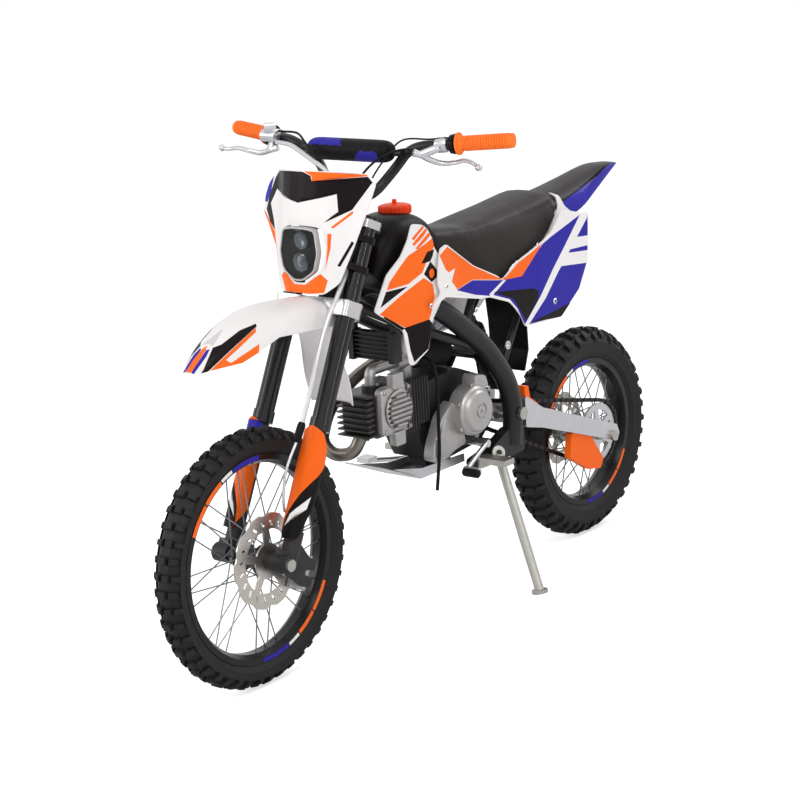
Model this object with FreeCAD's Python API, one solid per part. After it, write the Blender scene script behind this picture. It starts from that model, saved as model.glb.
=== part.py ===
import FreeCAD, Part

import math
import os

# A small off-road motorcycle that leans on its side stand. Lengths are in millimetres, angles in degrees.
# Each sub-part is drawn upright, with X forward, Y to the rider's left, Z up and the origin on the ground
# midway between the wheels. The last step leans the whole machine and centres it on the ground.

# Stance and steering
wheelbase = 1227.0
lean = 8.0
rake = 26.3
steering_trail_offset = 50.0
leg_lead = 19.0
leg_half_spacing = 81.0

# Gaps between pieces
seat_gap = 0.3
bearing_gap = 0.5
running_gap = 1.5

# Wheels
front_tyre_radius = 282.0
front_tyre_half_width = 35.0
front_crown_half_width = 12.0
front_rim_radius = 228.0
front_rim_half_width = 24.0
rear_tyre_radius = 264.0
rear_tyre_half_width = 43.0
rear_crown_half_width = 15.0
rear_rim_radius = 187.0
rear_rim_half_width = 29.0
lug_height = 12.0
shoulder_drop = 16.0
shoulder_inset = 4.0
casing_wall = 8.0
rim_wall = 3.0
rim_depth = 19.0
spoke_count = 32
spoke_radius = 1.6
spoke_head_lift = 3.4
hub_barrel_radius = 22.0
hub_flange_radius = 33.0
hub_flange_thickness = 4.0
hub_stub_radius = 17.0
carrier_radius = 26.0
front_flange_offset = 29.0
front_hub_half_length = 59.0
rear_flange_offset = 38.0
rear_hub_half_length = 70.0
axle_radius = 7.5
axle_nut_radius = 13.0
axle_nut_thickness = 9.0

# Brakes
front_disc_radius = 104.0
rear_disc_radius = 92.0
disc_thickness = 3.5
front_disc_offset = 42.0
rear_disc_offset = 54.0
disc_waves = 10
disc_band_width = 34.0

# Chain drive
chain_pitch = 12.7
rear_sprocket_teeth = 41
front_sprocket_teeth = 15
sprocket_thickness = 6.0
chain_line = 55.0
chain_half_width = 5.5
chain_half_height = 6.0
front_sprocket_x = -150.0
front_sprocket_z = 425.0

# Fork
outer_tube_radius = 21.0
outer_tube_wall = 4.0
inner_tube_radius = 16.6
socket_radius = 19.6
outer_tube_start = 292.0
leg_top = 764.0
lower_clamp_bottom = 541.0
lower_clamp_height = 34.0
upper_clamp_bottom = 738.0
upper_clamp_height = 18.0
clamp_margin = 9.0
stem_radius = 14.0
head_tube_radius = 26.0
axle_lug_radius = 21.0
axle_lug_half_width = 20.0
guard_thickness = 4.0

# Handlebar
bar_radius = 11.0
bar_end_half_width = 385.0
grip_length = 122.0
grip_radius = 16.5
grip_flange_radius = 24.0
crossbar_radius = 7.0
bar_pad_radius = 25.0
bar_pad_half_length = 104.0

# Frame and swingarm
spar_radius = 24.0
rail_radius = 12.0
subframe_radius = 10.0
swingarm_pivot_x = -217.0
swingarm_pivot_z = 418.0
swingarm_outer = 102.0
swingarm_beam_width = 26.0
swingarm_beam_height = 46.0
pivot_radius = 9.0

# Engine
case_left_face = 48.0
case_right_face = -52.0
cover_radius = 73.0
cover_outer = 122.0
fin_thickness = 3.0
fin_pitch = 9.0

cylinder_z = 505.0
barrel_start = 88.0
engine_foot = 342.0
plate_thickness = 4.0

# Side stand
stand_pivot = (-120.0, 112.0, 345.0)
stand_radius = 11.0
stand_forward_reach = 34.0
stand_foot_splay = 128.0
stand_foot_radius = 19.0
stand_foot_thickness = 8.0
stand_eye_half = 6.0
stand_bolt_radius = 6.0

# Hoses
drain_hose_radius = 4.0
brake_hose_radius = 3.0
hose_lane = 22.0
hose_lane_y = 72.0
hose_bow = 6.0

# Plastics and saddle
panel_thickness = 3.0
seat_channel_top = 862.0
arc_share = 0.45

V = FreeCAD.Vector
lean_tan = math.tan(math.radians(lean))
front_axle_x = wheelbase / 2
rear_axle_x = -wheelbase / 2
front_axle_z = front_tyre_radius + front_crown_half_width * lean_tan
rear_axle_z = rear_tyre_radius + rear_crown_half_width * lean_tan


def rounded_edges(points, radius=None, closed=False):
    """Straight runs joined by tangent arcs; each arc is as large as its runs allow, or has the given radius."""
    points = [V(*point) for point in points]
    count = len(points)
    corners = range(count) if closed else range(1, count - 1)
    arcs = {}
    for i in corners:
        corner = points[i]
        back = points[i - 1] - corner
        ahead = points[(i + 1) % count] - corner
        half_turn = (math.pi - back.getAngle(ahead)) / 2
        reach = arc_share * min(back.Length, ahead.Length)
        if radius is not None:
            reach = min(reach, radius * math.tan(half_turn))
        if reach < 1e-6:
            arcs[i] = (corner, None, corner)
            continue
        back.normalize()
        ahead.normalize()
        middle = back + ahead
        middle.normalize()
        arc_radius = reach / math.tan(half_turn)
        depth = arc_radius / math.cos(half_turn) - arc_radius
        arcs[i] = (corner + back * reach, corner + middle * depth, corner + ahead * reach)
    edges = []
    for i in range(count if closed else count - 1):
        after = (i + 1) % count
        start = arcs[i][2] if i in arcs else points[i]
        end = arcs[after][0] if after in arcs else points[after]
        if (end - start).Length > 1e-6:
            edges.append(Part.LineSegment(start, end).toShape())
        if after in arcs and arcs[after][1] is not None:
            edges.append(Part.Arc(*arcs[after]).toShape())
    return edges


def closed_wire(points, radius=0.0):
    return Part.Wire(Part.__sortEdges__(rounded_edges(points, radius, closed=True)))


def prism(points, direction, radius=0.0):
    return Part.Face(closed_wire(points, radius)).extrude(V(*direction))


def side_plate(outline, y_start, y_end, radius=0.0):
    """A plate whose outline is drawn in the side view as (x, z) pairs."""
    return prism([(x, y_start, z) for x, z in outline], (0, y_end - y_start, 0), radius)


def pipe(points, radius, wall=0.0):
    """A round tube along straight runs and tangent arcs."""
    path = Part.Wire(rounded_edges(points))
    start = V(*points[0])
    heading = V(*points[1]) - start
    tube = path.makePipeShell([Part.Wire(Part.makeCircle(radius, start, heading))], True, False)
    if wall:
        bore = Part.Wire(Part.makeCircle(radius - wall, start, heading))
        tube = tube.cut(path.makePipeShell([bore], True, False))
    return tube


def rod(start, end, radius):
    start = V(*start)
    run = V(*end) - start
    return Part.makeCylinder(radius, run.Length, start, run)


def cross_rod(x, z, y_start, y_end, radius):
    """A round bar across the machine."""
    return rod((x, y_start, z), (x, y_end, z), radius)


def block(x_start, x_end, y_start, y_end, z_start, z_end):
    size = (x_end - x_start, y_end - y_start, z_end - z_start)
    return Part.makeBox(*size, V(x_start, y_start, z_start))


def ring(x, z, y_start, y_end, outer, inner):
    return cross_rod(x, z, y_start, y_end, outer).cut(cross_rod(x, z, y_start - 1, y_end + 1, inner))


def spin(x, z, profile, radius=0.0):
    """A solid of revolution about a cross axis; the profile holds (radius, y) pairs."""
    face = Part.Face(closed_wire([(x + r, y, z) for r, y in profile], radius))
    return face.revolve(V(x, 0, z), V(0, 1, 0), 360)


def loft(sections, smooth=False):
    return Part.makeLoft([closed_wire(points) for points in sections], True, not smooth)


def mirrored(shape):
    return shape.mirror(V(0, 0, 0), V(0, 1, 0))


def both_sides(shape):
    return [shape, mirrored(shape)]


def fused(shapes):
    shapes = list(shapes)
    whole = shapes[0].multiFuse(shapes[1:]) if len(shapes) > 1 else shapes[0]
    return whole.removeSplitter()


def group(shapes):
    """Solids that don't touch, kept together as one sub-part."""
    return Part.makeCompound([solid for shape in shapes for solid in shape.Solids])


def turned(shape, angle, centre, axis):
    copy = shape.copy()
    copy.rotate(V(*centre), V(*axis), angle)
    return copy


def around(shape, count, x, z):
    """Copies of a shape, evenly spaced about a cross axis."""
    return [turned(shape, 360.0 * i / count, (x, 0, z), (0, 1, 0)) for i in range(count)]


def on_fork(shape):
    """Places a shape drawn about the front axle, with Z along the steering axis, on the raked fork."""
    placed = turned(shape, -rake, (0, 0, 0), (0, 1, 0))
    placed.translate(V(front_axle_x, 0, front_axle_z))
    return placed


def fork_point(x, y, z):
    """The same placing for a point."""
    cosine = math.cos(math.radians(rake))
    sine = math.sin(math.radians(rake))
    return (front_axle_x + x * cosine - z * sine, y, front_axle_z + x * sine + z * cosine)


def lengthwise_cover(outline, plan, tilt, radius=0.0):
    """A thin panel: its side outline, as (x, z) pairs, cut from a wall that follows a plan curve.

    The plan holds (x, y) pairs at the height of the outline's foot, and the wall leans outward by tilt
    for each unit of height.
    """
    low = min(z for x, z in outline) - 1
    high = max(z for x, z in outline) + 1
    inner = [(x, y - panel_thickness) for x, y in reversed(plan)]
    wall = prism([(x, y, low) for x, y in plan + inner], (0, tilt * (high - low), high - low), 0.0)
    reach = 2 * max(y for x, y in plan) + 200
    return wall.common(side_plate(outline, 0, reach, radius))


def outside_of(plan):
    """Everything outboard of the inner face of a cover with this plan, less its seat's gap."""
    inner = [(x, y - panel_thickness - seat_gap, 0) for x, y in plan]
    far = [(plan[-1][0], 400, 0), (plan[0][0], 400, 0)]
    return prism(inner + far, (0, 0, 1200))


# Wheels

def tyre(x, z, outer, half_width, crown, rim_radius, rim_half_width):
    """Casing out to the tips of the lugs, hollow inside and seated between the rim's flanges."""
    bead = rim_half_width - rim_wall - seat_gap
    lip = rim_radius + seat_gap
    belly = rim_radius + 0.45 * (outer - rim_radius)
    shoulder = outer - shoulder_drop
    foot = rim_radius - 0.45 * rim_depth
    profile = [
        (foot, -bead), (lip, -bead), (lip, -rim_half_width), (belly, -half_width),
        (shoulder, shoulder_inset - half_width), (outer, -crown),
        (outer, crown), (shoulder, half_width - shoulder_inset),
        (belly, half_width), (lip, rim_half_width), (lip, bead), (foot, bead),
        (foot, bead - casing_wall / 2), (belly, half_width - casing_wall),
        (outer - lug_height - casing_wall, crown + 4), (outer - lug_height - casing_wall, -crown - 4),
        (belly, casing_wall - half_width), (foot, casing_wall / 2 - bead),
    ]
    return spin(x, z, profile)


def rim(x, z, outer, half_width):
    well = outer - rim_depth
    shelf = outer - 0.55 * rim_depth
    profile = [
        (outer, -half_width), (outer, rim_wall - half_width), (shelf, rim_wall - half_width),
        (well, -0.4 * half_width), (well, 0.4 * half_width), (shelf, half_width - rim_wall),
        (outer, half_width - rim_wall), (outer, half_width), (shelf - rim_wall, half_width),
        (well - rim_wall, 0.45 * half_width), (well - rim_wall, -0.45 * half_width),
        (shelf - rim_wall, -half_width),
    ]
    return spin(x, z, profile)


def spokes(x, z, rim_radius, flange_offset):
    """Crossed spokes from just outside the hub's flanges to just inside the rim's well."""
    reach = rim_radius - rim_depth - rim_wall - seat_gap - 0.2 * spoke_radius
    pair_count = spoke_count // 4
    solids = []
    for side in (-1, 1):
        for slant in (-1, 1):
            start_angle = math.radians(slant * 62.0)
            lift = spoke_head_lift + (0 if slant > 0 else 2 * spoke_radius + seat_gap)
            start_y = side * (flange_offset + lift)
            root = hub_flange_radius - hub_flange_thickness
            start = V(root * math.sin(start_angle), start_y, root * math.cos(start_angle))
            end_angle = math.radians(slant * 5.0)
            end = V(reach * math.sin(end_angle), side * 5.0, reach * math.cos(end_angle))
            run = end - start
            circle = Part.makePolygon(hexagon(start, run, spoke_radius))
            spoke = Part.Face(Part.Wire(circle)).extrude(run)
            spoke.translate(V(x, 0, z))
            phase = (0 if side > 0 else 180.0 / (spoke_count / 2))
            spoke = turned(spoke, phase, (x, 0, z), (0, 1, 0))
            solids += around(spoke, pair_count, x, z)
    return group(solids)


def hexagon(centre, normal, radius):
    side = normal.cross(V(0, 1, 0))
    side.normalize()
    up = normal.cross(side)
    up.normalize()
    corners = [math.pi / 3 * i for i in range(7)]
    return [centre + side * (radius * math.cos(a)) + up * (radius * math.sin(a)) for a in corners]


def hub(x, z, flange_offset, half_length):
    """Barrel with two spoke flanges and a stub at each end, bored for its axle."""
    inner = flange_offset - hub_flange_thickness
    bore = axle_radius + bearing_gap
    half = [(hub_barrel_radius, inner), (hub_flange_radius, inner), (hub_flange_radius, flange_offset),
            (hub_stub_radius, flange_offset), (hub_stub_radius, half_length), (bore, half_length)]
    return spin(x, z, [(r, -y) for r, y in reversed(half)] + half)


def disc(x, z, y_centre, outer, flange_offset):
    """Wave-edged brake disc with a slotted band, a spider of five arms and the ring that seats it on the hub."""
    y_start = y_centre - disc_thickness / 2
    y_end = y_centre + disc_thickness / 2
    plate = cross_rod(x, z, y_start, y_end, outer)
    wave_radius = 0.34 * outer
    wave = cross_rod(x, z + outer + wave_radius - 5, y_start - 1, y_end + 1, wave_radius)
    window_inner = hub_flange_radius + 6
    window_outer = outer - disc_band_width
    band = ring(x, z, y_start - 1, y_end + 1, window_outer, window_inner)
    arm = block(x - 9, x + 9, y_start - 1, y_end + 1, z, z + outer)
    windows = band.cut(fused(around(arm, 5, x, z)))
    slot = turned(block(x - 3, x + 3, y_start - 1, y_end + 1, z + window_outer + 8, z + outer - 13),
                  35, (x, 0, z + window_outer), (0, 1, 0))
    slots = around(slot, 2 * disc_waves, x, z)
    carrier = cross_rod(x, z, flange_offset, y_start, carrier_radius)
    bore = cross_rod(x, z, 0, y_end + 1, hub_stub_radius + seat_gap)
    return fused([plate.cut(around(wave, disc_waves, x, z) + [windows] + slots), carrier]).cut(bore)


def axle(x, z, half_length):
    """Through axle with a nut at each end."""
    nuts = [cross_rod(x, z, half_length, half_length + axle_nut_thickness, axle_nut_radius)]
    nuts.append(mirrored(nuts[0]))
    reach = half_length + axle_nut_thickness
    return fused([cross_rod(x, z, -reach, reach, axle_radius)] + nuts)


def sprocket_radius(teeth):
    return chain_pitch / (2 * math.sin(math.pi / teeth))


def rear_sprocket():
    """Sprocket on a spider of six arms, seated on the hub's left flange."""
    x = rear_axle_x
    z = rear_axle_z
    y_start = chain_line - sprocket_thickness / 2
    y_end = chain_line + sprocket_thickness / 2
    tip = sprocket_radius(rear_sprocket_teeth) - chain_half_height - running_gap
    body = cross_rod(x, z, y_start, y_end, tip)
    window = ring(x, z, y_start - 1, y_end + 1, tip - 16, carrier_radius + 8)
    arm = block(x - 8, x + 8, y_start - 1, y_end + 1, z, z + tip)
    windows = window.cut(fused(around(arm, 6, x, z)))
    carrier = cross_rod(x, z, rear_flange_offset, y_start, carrier_radius)
    bore = cross_rod(x, z, 0, y_end + 1, hub_stub_radius + seat_gap)
    return fused([body.cut(windows), carrier]).cut(bore)


def chain():
    """Closed loop round both sprockets: an outer band with the run of link plates left solid."""
    front = (front_sprocket_x, front_sprocket_z, sprocket_radius(front_sprocket_teeth))
    rear = (rear_axle_x, rear_axle_z, sprocket_radius(rear_sprocket_teeth))
    y_start = chain_line - chain_half_width
    y_end = chain_line + chain_half_width
    outer = belt(front, rear, chain_half_height, y_start, y_end)
    inner = belt(front, rear, -chain_half_height, y_start - 1, y_end + 1)
    return outer.cut(inner)


def front_sprocket():
    """Small sprocket on the gearbox's output shaft."""
    y_start = chain_line - sprocket_thickness / 2
    y_end = chain_line + sprocket_thickness / 2
    tip = sprocket_radius(front_sprocket_teeth) - chain_half_height - running_gap
    plate = cross_rod(front_sprocket_x, front_sprocket_z, y_start, y_end, tip)
    shaft = cross_rod(front_sprocket_x, front_sprocket_z, case_left_face, y_end + 6, 9)
    return fused([plate, shaft])


def belt(front, rear, grow, y_start, y_end):
    """The filled outline of two circles and their outer tangents."""
    fx, fz, front_radius = front
    rx, rz, rear_radius = rear
    front_radius += grow
    rear_radius += grow
    distance = math.hypot(fx - rx, fz - rz)
    heading = math.atan2(fz - rz, fx - rx)
    spread = math.acos((rear_radius - front_radius) / distance)
    corners = []
    for cx, cz, radius, sign in ((rx, rz, rear_radius, 1), (fx, fz, front_radius, 1),
                                 (fx, fz, front_radius, -1), (rx, rz, rear_radius, -1)):
        angle = heading + sign * spread
        corners.append((cx + radius * math.cos(angle), cz + radius * math.sin(angle)))
    quad = side_plate(corners, y_start, y_end)
    ends = [cross_rod(rx, rz, y_start, y_end, rear_radius), cross_rod(fx, fz, y_start, y_end, front_radius)]
    return fused([quad] + ends)


# Fork and steering

def leg_rod(bottom, top, radius, side):
    return rod((-leg_lead, side * leg_half_spacing, bottom), (-leg_lead, side * leg_half_spacing, top), radius)


def fork_tubes():
    tubes = []
    for side in (-1, 1):
        outer = leg_rod(outer_tube_start, leg_top, outer_tube_radius, side)
        bore = leg_rod(outer_tube_start - 1, leg_top - 12, outer_tube_radius - outer_tube_wall, side)
        collar = leg_rod(outer_tube_start, outer_tube_start + 26, outer_tube_radius + 2.5, side)
        tubes.append(on_fork(fused([outer, collar]).cut(bore)))
    return group(tubes)


def fork_lowers():
    """Sliding tubes with the cast feet that clamp the axle; the left foot carries the caliper's ears."""
    lowers = []
    for side in (-1, 1):
        slider = leg_rod(24, outer_tube_start + 150, inner_tube_radius, side)
        socket = leg_rod(-6, 74, socket_radius, side)
        y_in = side * leg_half_spacing - axle_lug_half_width
        foot = rod((0, y_in, 0), (0, y_in + 2 * axle_lug_half_width, 0), axle_lug_radius)
        web = block(-leg_lead - 12, 12, y_in + 6, y_in + 2 * axle_lug_half_width - 6, -14, 30)
        bore = rod((0, y_in - 1, 0), (0, y_in + 2 * axle_lug_half_width + 1, 0), axle_radius + seat_gap)
        leg = fused([slider, socket, foot, web])
        if side > 0:
            leg = fused([leg, caliper_bracket()])
        lowers.append(on_fork(leg.cut(bore)))
    return group(lowers)


caliper_x = -94.0
caliper_z = -4.0


def caliper_bracket():
    """Two ears behind the left leg."""
    y_in = leg_half_spacing - 8
    x = caliper_x - 4
    upper = caliper_z + 17
    lower = caliper_z - 17
    outline = [(-leg_lead - 8, y_in, 62), (x + 14, y_in, upper + 16),
               (x - 12, y_in, upper + 12), (x - 12, y_in, upper - 10),
               (x + 16, y_in, caliper_z + 6), (x + 16, y_in, caliper_z - 6), (x - 12, y_in, lower + 10),
               (x - 12, y_in, lower - 12), (x + 14, y_in, lower - 14), (-leg_lead - 4, y_in, -18)]
    return prism(outline, (0, 9, 0), 5)


def front_caliper():
    bracket_face = leg_half_spacing - 8 - seat_gap
    return on_fork(caliper(caliper_x, caliper_z, front_disc_offset, front_disc_radius, bracket_face, 0, 0))


def caliper(x, z, y_disc, disc_radius, bracket_face, wheel_x, wheel_z):
    """Two-piston caliper over the disc's rear edge, with two bosses that reach its bracket."""
    body = fused([
        block(x - 24, x + 20, y_disc - 11, y_disc + 20, z - 38, z + 38),
        rod((x - 4, y_disc + 12, z + 17), (x - 4, bracket_face, z + 17), 14),
        rod((x - 4, y_disc + 12, z - 17), (x - 4, bracket_face, z - 17), 14),
    ])
    slot_half = disc_thickness / 2 + running_gap
    slot = rod((wheel_x, y_disc - slot_half, wheel_z), (wheel_x, y_disc + slot_half, wheel_z), disc_radius + 5)
    return body.cut(slot)


def fork_guards():
    """Curved shields in front of and beside each slider."""
    guards = []
    outer = inner_tube_radius + 13
    for side in (-1, 1):
        y = side * leg_half_spacing
        shell = leg_rod(52, 292 - seat_gap, outer, side).cut(leg_rod(51, 293, outer - guard_thickness, side))
        plan = [(-leg_lead + 40, y - side * 40), (-leg_lead + 40, y + side * 40), (-leg_lead - 22, y + side * 40),
                (-leg_lead - 6, y - side * 40)]
        keep = prism([(x, y_keep, 0) for x, y_keep in plan], (0, 0, 330))
        taper = prism([(-leg_lead - 60, y - 50, 52), (-leg_lead - 60, y - 50, 120), (-leg_lead + 2, y - 50, 52)],
                      (0, 100, 0))
        lug = leg_rod(60, 72, outer - guard_thickness + 0.5, side)
        lug = lug.cut(leg_rod(59, 73, socket_radius + seat_gap, side))
        guards.append(on_fork(fused([shell.common(keep).cut(taper), lug.common(keep)])))
    return group(guards)


def clamp_outline(margin):
    """Plan of a fork clamp: a waisted plate round both legs and the stem."""
    wing = leg_half_spacing + outer_tube_radius + margin
    front = outer_tube_radius + margin - leg_lead
    back = -steering_trail_offset - head_tube_radius - 2
    return [(front, wing - 12), (front, 30), (front - 14, 0), (front, -30), (front, 12 - wing),
            (-leg_lead - 8, -wing), (-leg_lead - outer_tube_radius - 6, 12 - wing), (back, -24), (back, 24),
            (-leg_lead - outer_tube_radius - 6, wing - 12), (-leg_lead - 8, wing)]


def triple_clamps():
    """Lower and upper clamps, joined by the stem that turns in the head tube."""
    pieces = []
    for bottom, height, margin in ((lower_clamp_bottom, lower_clamp_height, clamp_margin),
                                   (upper_clamp_bottom, upper_clamp_height, clamp_margin - 1)):
        plate = prism([(x, y, bottom) for x, y in clamp_outline(margin)], (0, 0, height), 10)
        holes = [leg_rod(bottom - 1, bottom + height + 1, outer_tube_radius + seat_gap, side) for side in (-1, 1)]
        pieces.append(plate.cut(holes))
    stem = rod((-steering_trail_offset, 0, lower_clamp_bottom + 2),
               (-steering_trail_offset, 0, upper_clamp_bottom + upper_clamp_height + 10), stem_radius)
    return on_fork(fused(pieces + [stem]))


bar_clamp_z = 806.0
bar_clamp_x = -26.0


def handlebar_points():
    """Centre line of the bar, from the clamp out to the left end."""
    clamp = fork_point(bar_clamp_x, 0, bar_clamp_z)
    return [(clamp[0], 0, clamp[2]), (clamp[0], 64, clamp[2]), (184, 98, 1052), (200, 160, 1108),
            (144, bar_end_half_width, 1122)]


def handlebar():
    """Bar with its cross brace, and the risers that hold it on the upper clamp."""
    left = handlebar_points()
    path = [(x, -y, z) for x, y, z in reversed(left[1:])] + left[1:]
    bar = pipe(path, bar_radius)
    brace_y = 142.0
    brace = cross_rod(brace_point[0], brace_point[1], -brace_y, brace_y, crossbar_radius)
    risers = []
    for side in (-1, 1):
        base = (bar_clamp_x, side * 42, upper_clamp_bottom + upper_clamp_height)
        post = rod(base, (bar_clamp_x, side * 42, bar_clamp_z), 13)
        shell = rod((bar_clamp_x, side * 42 - 13, bar_clamp_z), (bar_clamp_x, side * 42 + 13, bar_clamp_z),
                    bar_radius + 6)
        risers.append(on_fork(fused([post, shell])))
    return fused([bar, brace] + risers)


brace_point = (208.0, 1094.0)


def bar_pad():
    """Foam roll round the cross brace."""
    x, z = brace_point
    pad = cross_rod(x, z, -bar_pad_half_length, bar_pad_half_length, bar_pad_radius)
    return pad.cut(cross_rod(x, z, -bar_pad_half_length - 1, bar_pad_half_length + 1, crossbar_radius + seat_gap))


def grip_direction():
    bend, end = [V(*point) for point in handlebar_points()[-2:]]
    run = end - bend
    run.normalize()
    return end, run


def on_bar(distance, drop=0.0, ahead=0.0):
    """A point beside the left end of the bar, measured inward from its tip."""
    end, run = grip_direction()
    point = end - run * distance
    return (point.x + ahead, point.y, point.z - drop)


def grips():
    body = rod(on_bar(grip_length), on_bar(-4), grip_radius)
    flange = rod(on_bar(grip_length), on_bar(grip_length - 5), grip_flange_radius)
    bore = rod(on_bar(grip_length + 1), on_bar(0), bar_radius + seat_gap)
    return group(both_sides(fused([body, flange]).cut(bore)))


def bar_controls():
    """Clutch perch on the left, brake master cylinder and throttle housing on the right, with their levers."""
    bore = rod(on_bar(grip_length + 70), on_bar(grip_length - 20), bar_radius + seat_gap)
    perch = fused([rod(on_bar(grip_length + 44), on_bar(grip_length + 14), bar_radius + 7),
                   rod(on_bar(grip_length + 30), on_bar(grip_length + 30, 12, 34), 10)])
    lever = pipe([on_bar(grip_length + 30, 10, 26), on_bar(grip_length + 6, 14, 46), on_bar(70, 22, 52),
                  on_bar(22, 24, 50)], 6)
    knob = Part.makeSphere(8.5, V(*on_bar(20, 24, 50)))
    left = fused([perch, lever, knob]).cut(bore)
    throttle = rod(on_bar(grip_length + 26), on_bar(grip_length + 1), grip_flange_radius - 2)
    master = fused([rod(on_bar(grip_length + 52), on_bar(grip_length + 32), bar_radius + 7),
                    rod(on_bar(grip_length + 56, 6, 24), on_bar(grip_length + 8, 6, 24), 12)])
    lid = rod(on_bar(grip_length + 48, -2, 24), on_bar(grip_length + 48, -30, 24), 17)
    right = fused([throttle, master, lid, lever, knob]).cut(bore)
    return group([left, mirrored(right)])


def front_fender():
    """Arched blade over the front wheel, with a mud shield that hangs behind the legs."""
    columns = ("x", "crown", "half_width", "drop")
    rows = ((768, 722, 16, 5), (740, 744, 34, 14), (676, 779, 58, 34), (600, 806, 70, 46), (527, 815, 76, 50),
            (440, 812, 62, 26), (352, 800, 56, 20))
    blade = loft([arch(dict(zip(columns, row))) for row in rows])
    shield_rows = ((352, 795, 56), (334, 700, 50), (312, 612, 62), (300, 556, 58))
    shield = loft([shield_section(*row) for row in shield_rows])
    tunnel = on_fork(fused([leg_rod(400, 700, outer_tube_radius + 3, side) for side in (-1, 1)]))
    clamp_space = on_fork(prism([(x, y, lower_clamp_bottom - seat_gap) for x, y in clamp_outline(clamp_margin)],
                                (0, 0, 60), 10))
    return fused([blade, shield]).cut([tunnel, clamp_space])


def arch(row):
    """Cross-section of the blade: a flat crown with two turned-down edges."""
    x, z, w, d = row["x"], row["crown"], row["half_width"], row["drop"]
    t = panel_thickness
    outer = [(x, -w, z - d), (x, -0.8 * w, z - 0.45 * d), (x, -0.45 * w, z - 0.08 * d), (x, 0, z)]
    outer += [(x, -y, zz) for x, y, zz in reversed(outer[:-1])]
    inner = [(x, y * (1 - t / w), zz - t) for x, y, zz in reversed(outer)]
    return outer + inner


def shield_section(x, z, w):
    t = panel_thickness
    outer = [(x + 26, -w, z), (x + 4, -0.6 * w, z), (x, 0, z), (x + 4, 0.6 * w, z), (x + 26, w, z)]
    inner = [(px + t, py * (1 - t / w), z) for px, py, z in reversed(outer)]
    return outer + inner


mask_x = 408.0
mask_tilt = -0.14
mask_foot = 812.0
lamp_outline = [(-46, 955), (46, 955), (56, 905), (44, 862), (12, 842), (-12, 842), (-44, 862), (-56, 905)]


def mask_wall(thickness, inset=0.0):
    """The curved wall that the front plate is cut from."""
    side = [(mask_x - 2, 36), (mask_x - 14, 66), (mask_x - 44, 104), (mask_x - 66, 156)]
    plan = [(x, -y) for x, y in reversed(side)] + side
    outer = [(x - inset, y, mask_foot - 5) for x, y in plan]
    back = [(x - inset - thickness, y, mask_foot - 5) for x, y in reversed(plan)]
    height = 290.0
    return prism(outer + back, (mask_tilt * height, 0, height))


def front_plate():
    """Number plate mask with its lamp opening, held to the fork legs by two straps."""
    left = [(66, 812), (93, 834), (112, 890), (140, 970), (152, 1034), (142, 1062), (100, 1070)]
    outline = [(-y, z) for y, z in reversed(left)] + left
    cut = prism([(150, y, z) for y, z in outline], (400, 0, 0), 8)
    wall = mask_wall(panel_thickness).common(cut)
    opening = prism([(250, y * 1.06, 900 + (z - 900) * 1.06) for y, z in lamp_outline], (300, 0, 0), 6)
    return wall.cut(opening)


def strap_arms():
    """Straps round the legs, each with an arm that reaches forward to the back of the mask."""
    behind = mask_wall(150, panel_thickness + seat_gap)
    arms = []
    for bottom in (640.0, 706.0):
        for side in (-1, 1):
            y = side * leg_half_spacing
            band = leg_rod(bottom, bottom + 14, outer_tube_radius + 4, side)
            arm = block(-leg_lead, 120, y - 5 + side * 10, y + 5 + side * 10, bottom, bottom + 14)
            band = fused([band, arm]).cut(leg_rod(bottom - 1, bottom + 15, outer_tube_radius + seat_gap, side))
            arms.append(on_fork(band).common(behind))
    return group(arms)


def headlight():
    """Lamp with a flange behind the mask, a bucket, and a raised bezel round its two lenses."""
    flange_outline = [(150, y * 1.16, 900 + (z - 900) * 1.16) for y, z in lamp_outline]
    flange = mask_wall(panel_thickness, panel_thickness + seat_gap).common(prism(flange_outline, (400, 0, 0), 6))
    face = prism([(mask_x - 60, y, z) for y, z in lamp_outline], (54, 0, 0), 6)
    bucket = Part.makeCylinder(36, 60, V(mask_x - 100, 0, 900), V(1, 0, 0))
    recess = prism([(mask_x - 14, y * 0.86, 900 + (z - 900) * 0.86) for y, z in lamp_outline], (30, 0, 0), 6)
    upper = Part.makeCylinder(19, 7, V(mask_x - 16, 0, 926), V(1, 0, 0))
    lower = Part.makeCylinder(23, 9, V(mask_x - 16, 0, 882), V(1, 0, 0))
    return fused([face.cut(recess), bucket, upper, lower, flange])


# Frame

def head_tube():
    bottom = lower_clamp_bottom + lower_clamp_height + running_gap
    top = upper_clamp_bottom - running_gap
    return on_fork(rod((-steering_trail_offset, 0, bottom), (-steering_trail_offset, 0, top), head_tube_radius))


def head_bore():
    return on_fork(rod((-steering_trail_offset, 0, 400), (-steering_trail_offset, 0, 900), stem_radius + bearing_gap))


frame_half_width = 92.0


def spar_points():
    """Left spar, from the head tube back over the engine and down to the swingarm pivot."""
    return [(272, 6, 836), (150, 62, 780), (40, frame_half_width, 716), (-108, frame_half_width + 2, 606),
            (-196, frame_half_width, 500), (-222, frame_half_width - 4, 420), (-214, frame_half_width - 8, 342)]


def rail_points():
    return [(296, 6, 790), (200, 48, 730), (60, 74, 664), (-70, 78, 612), (-138, 84, 574)]


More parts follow.
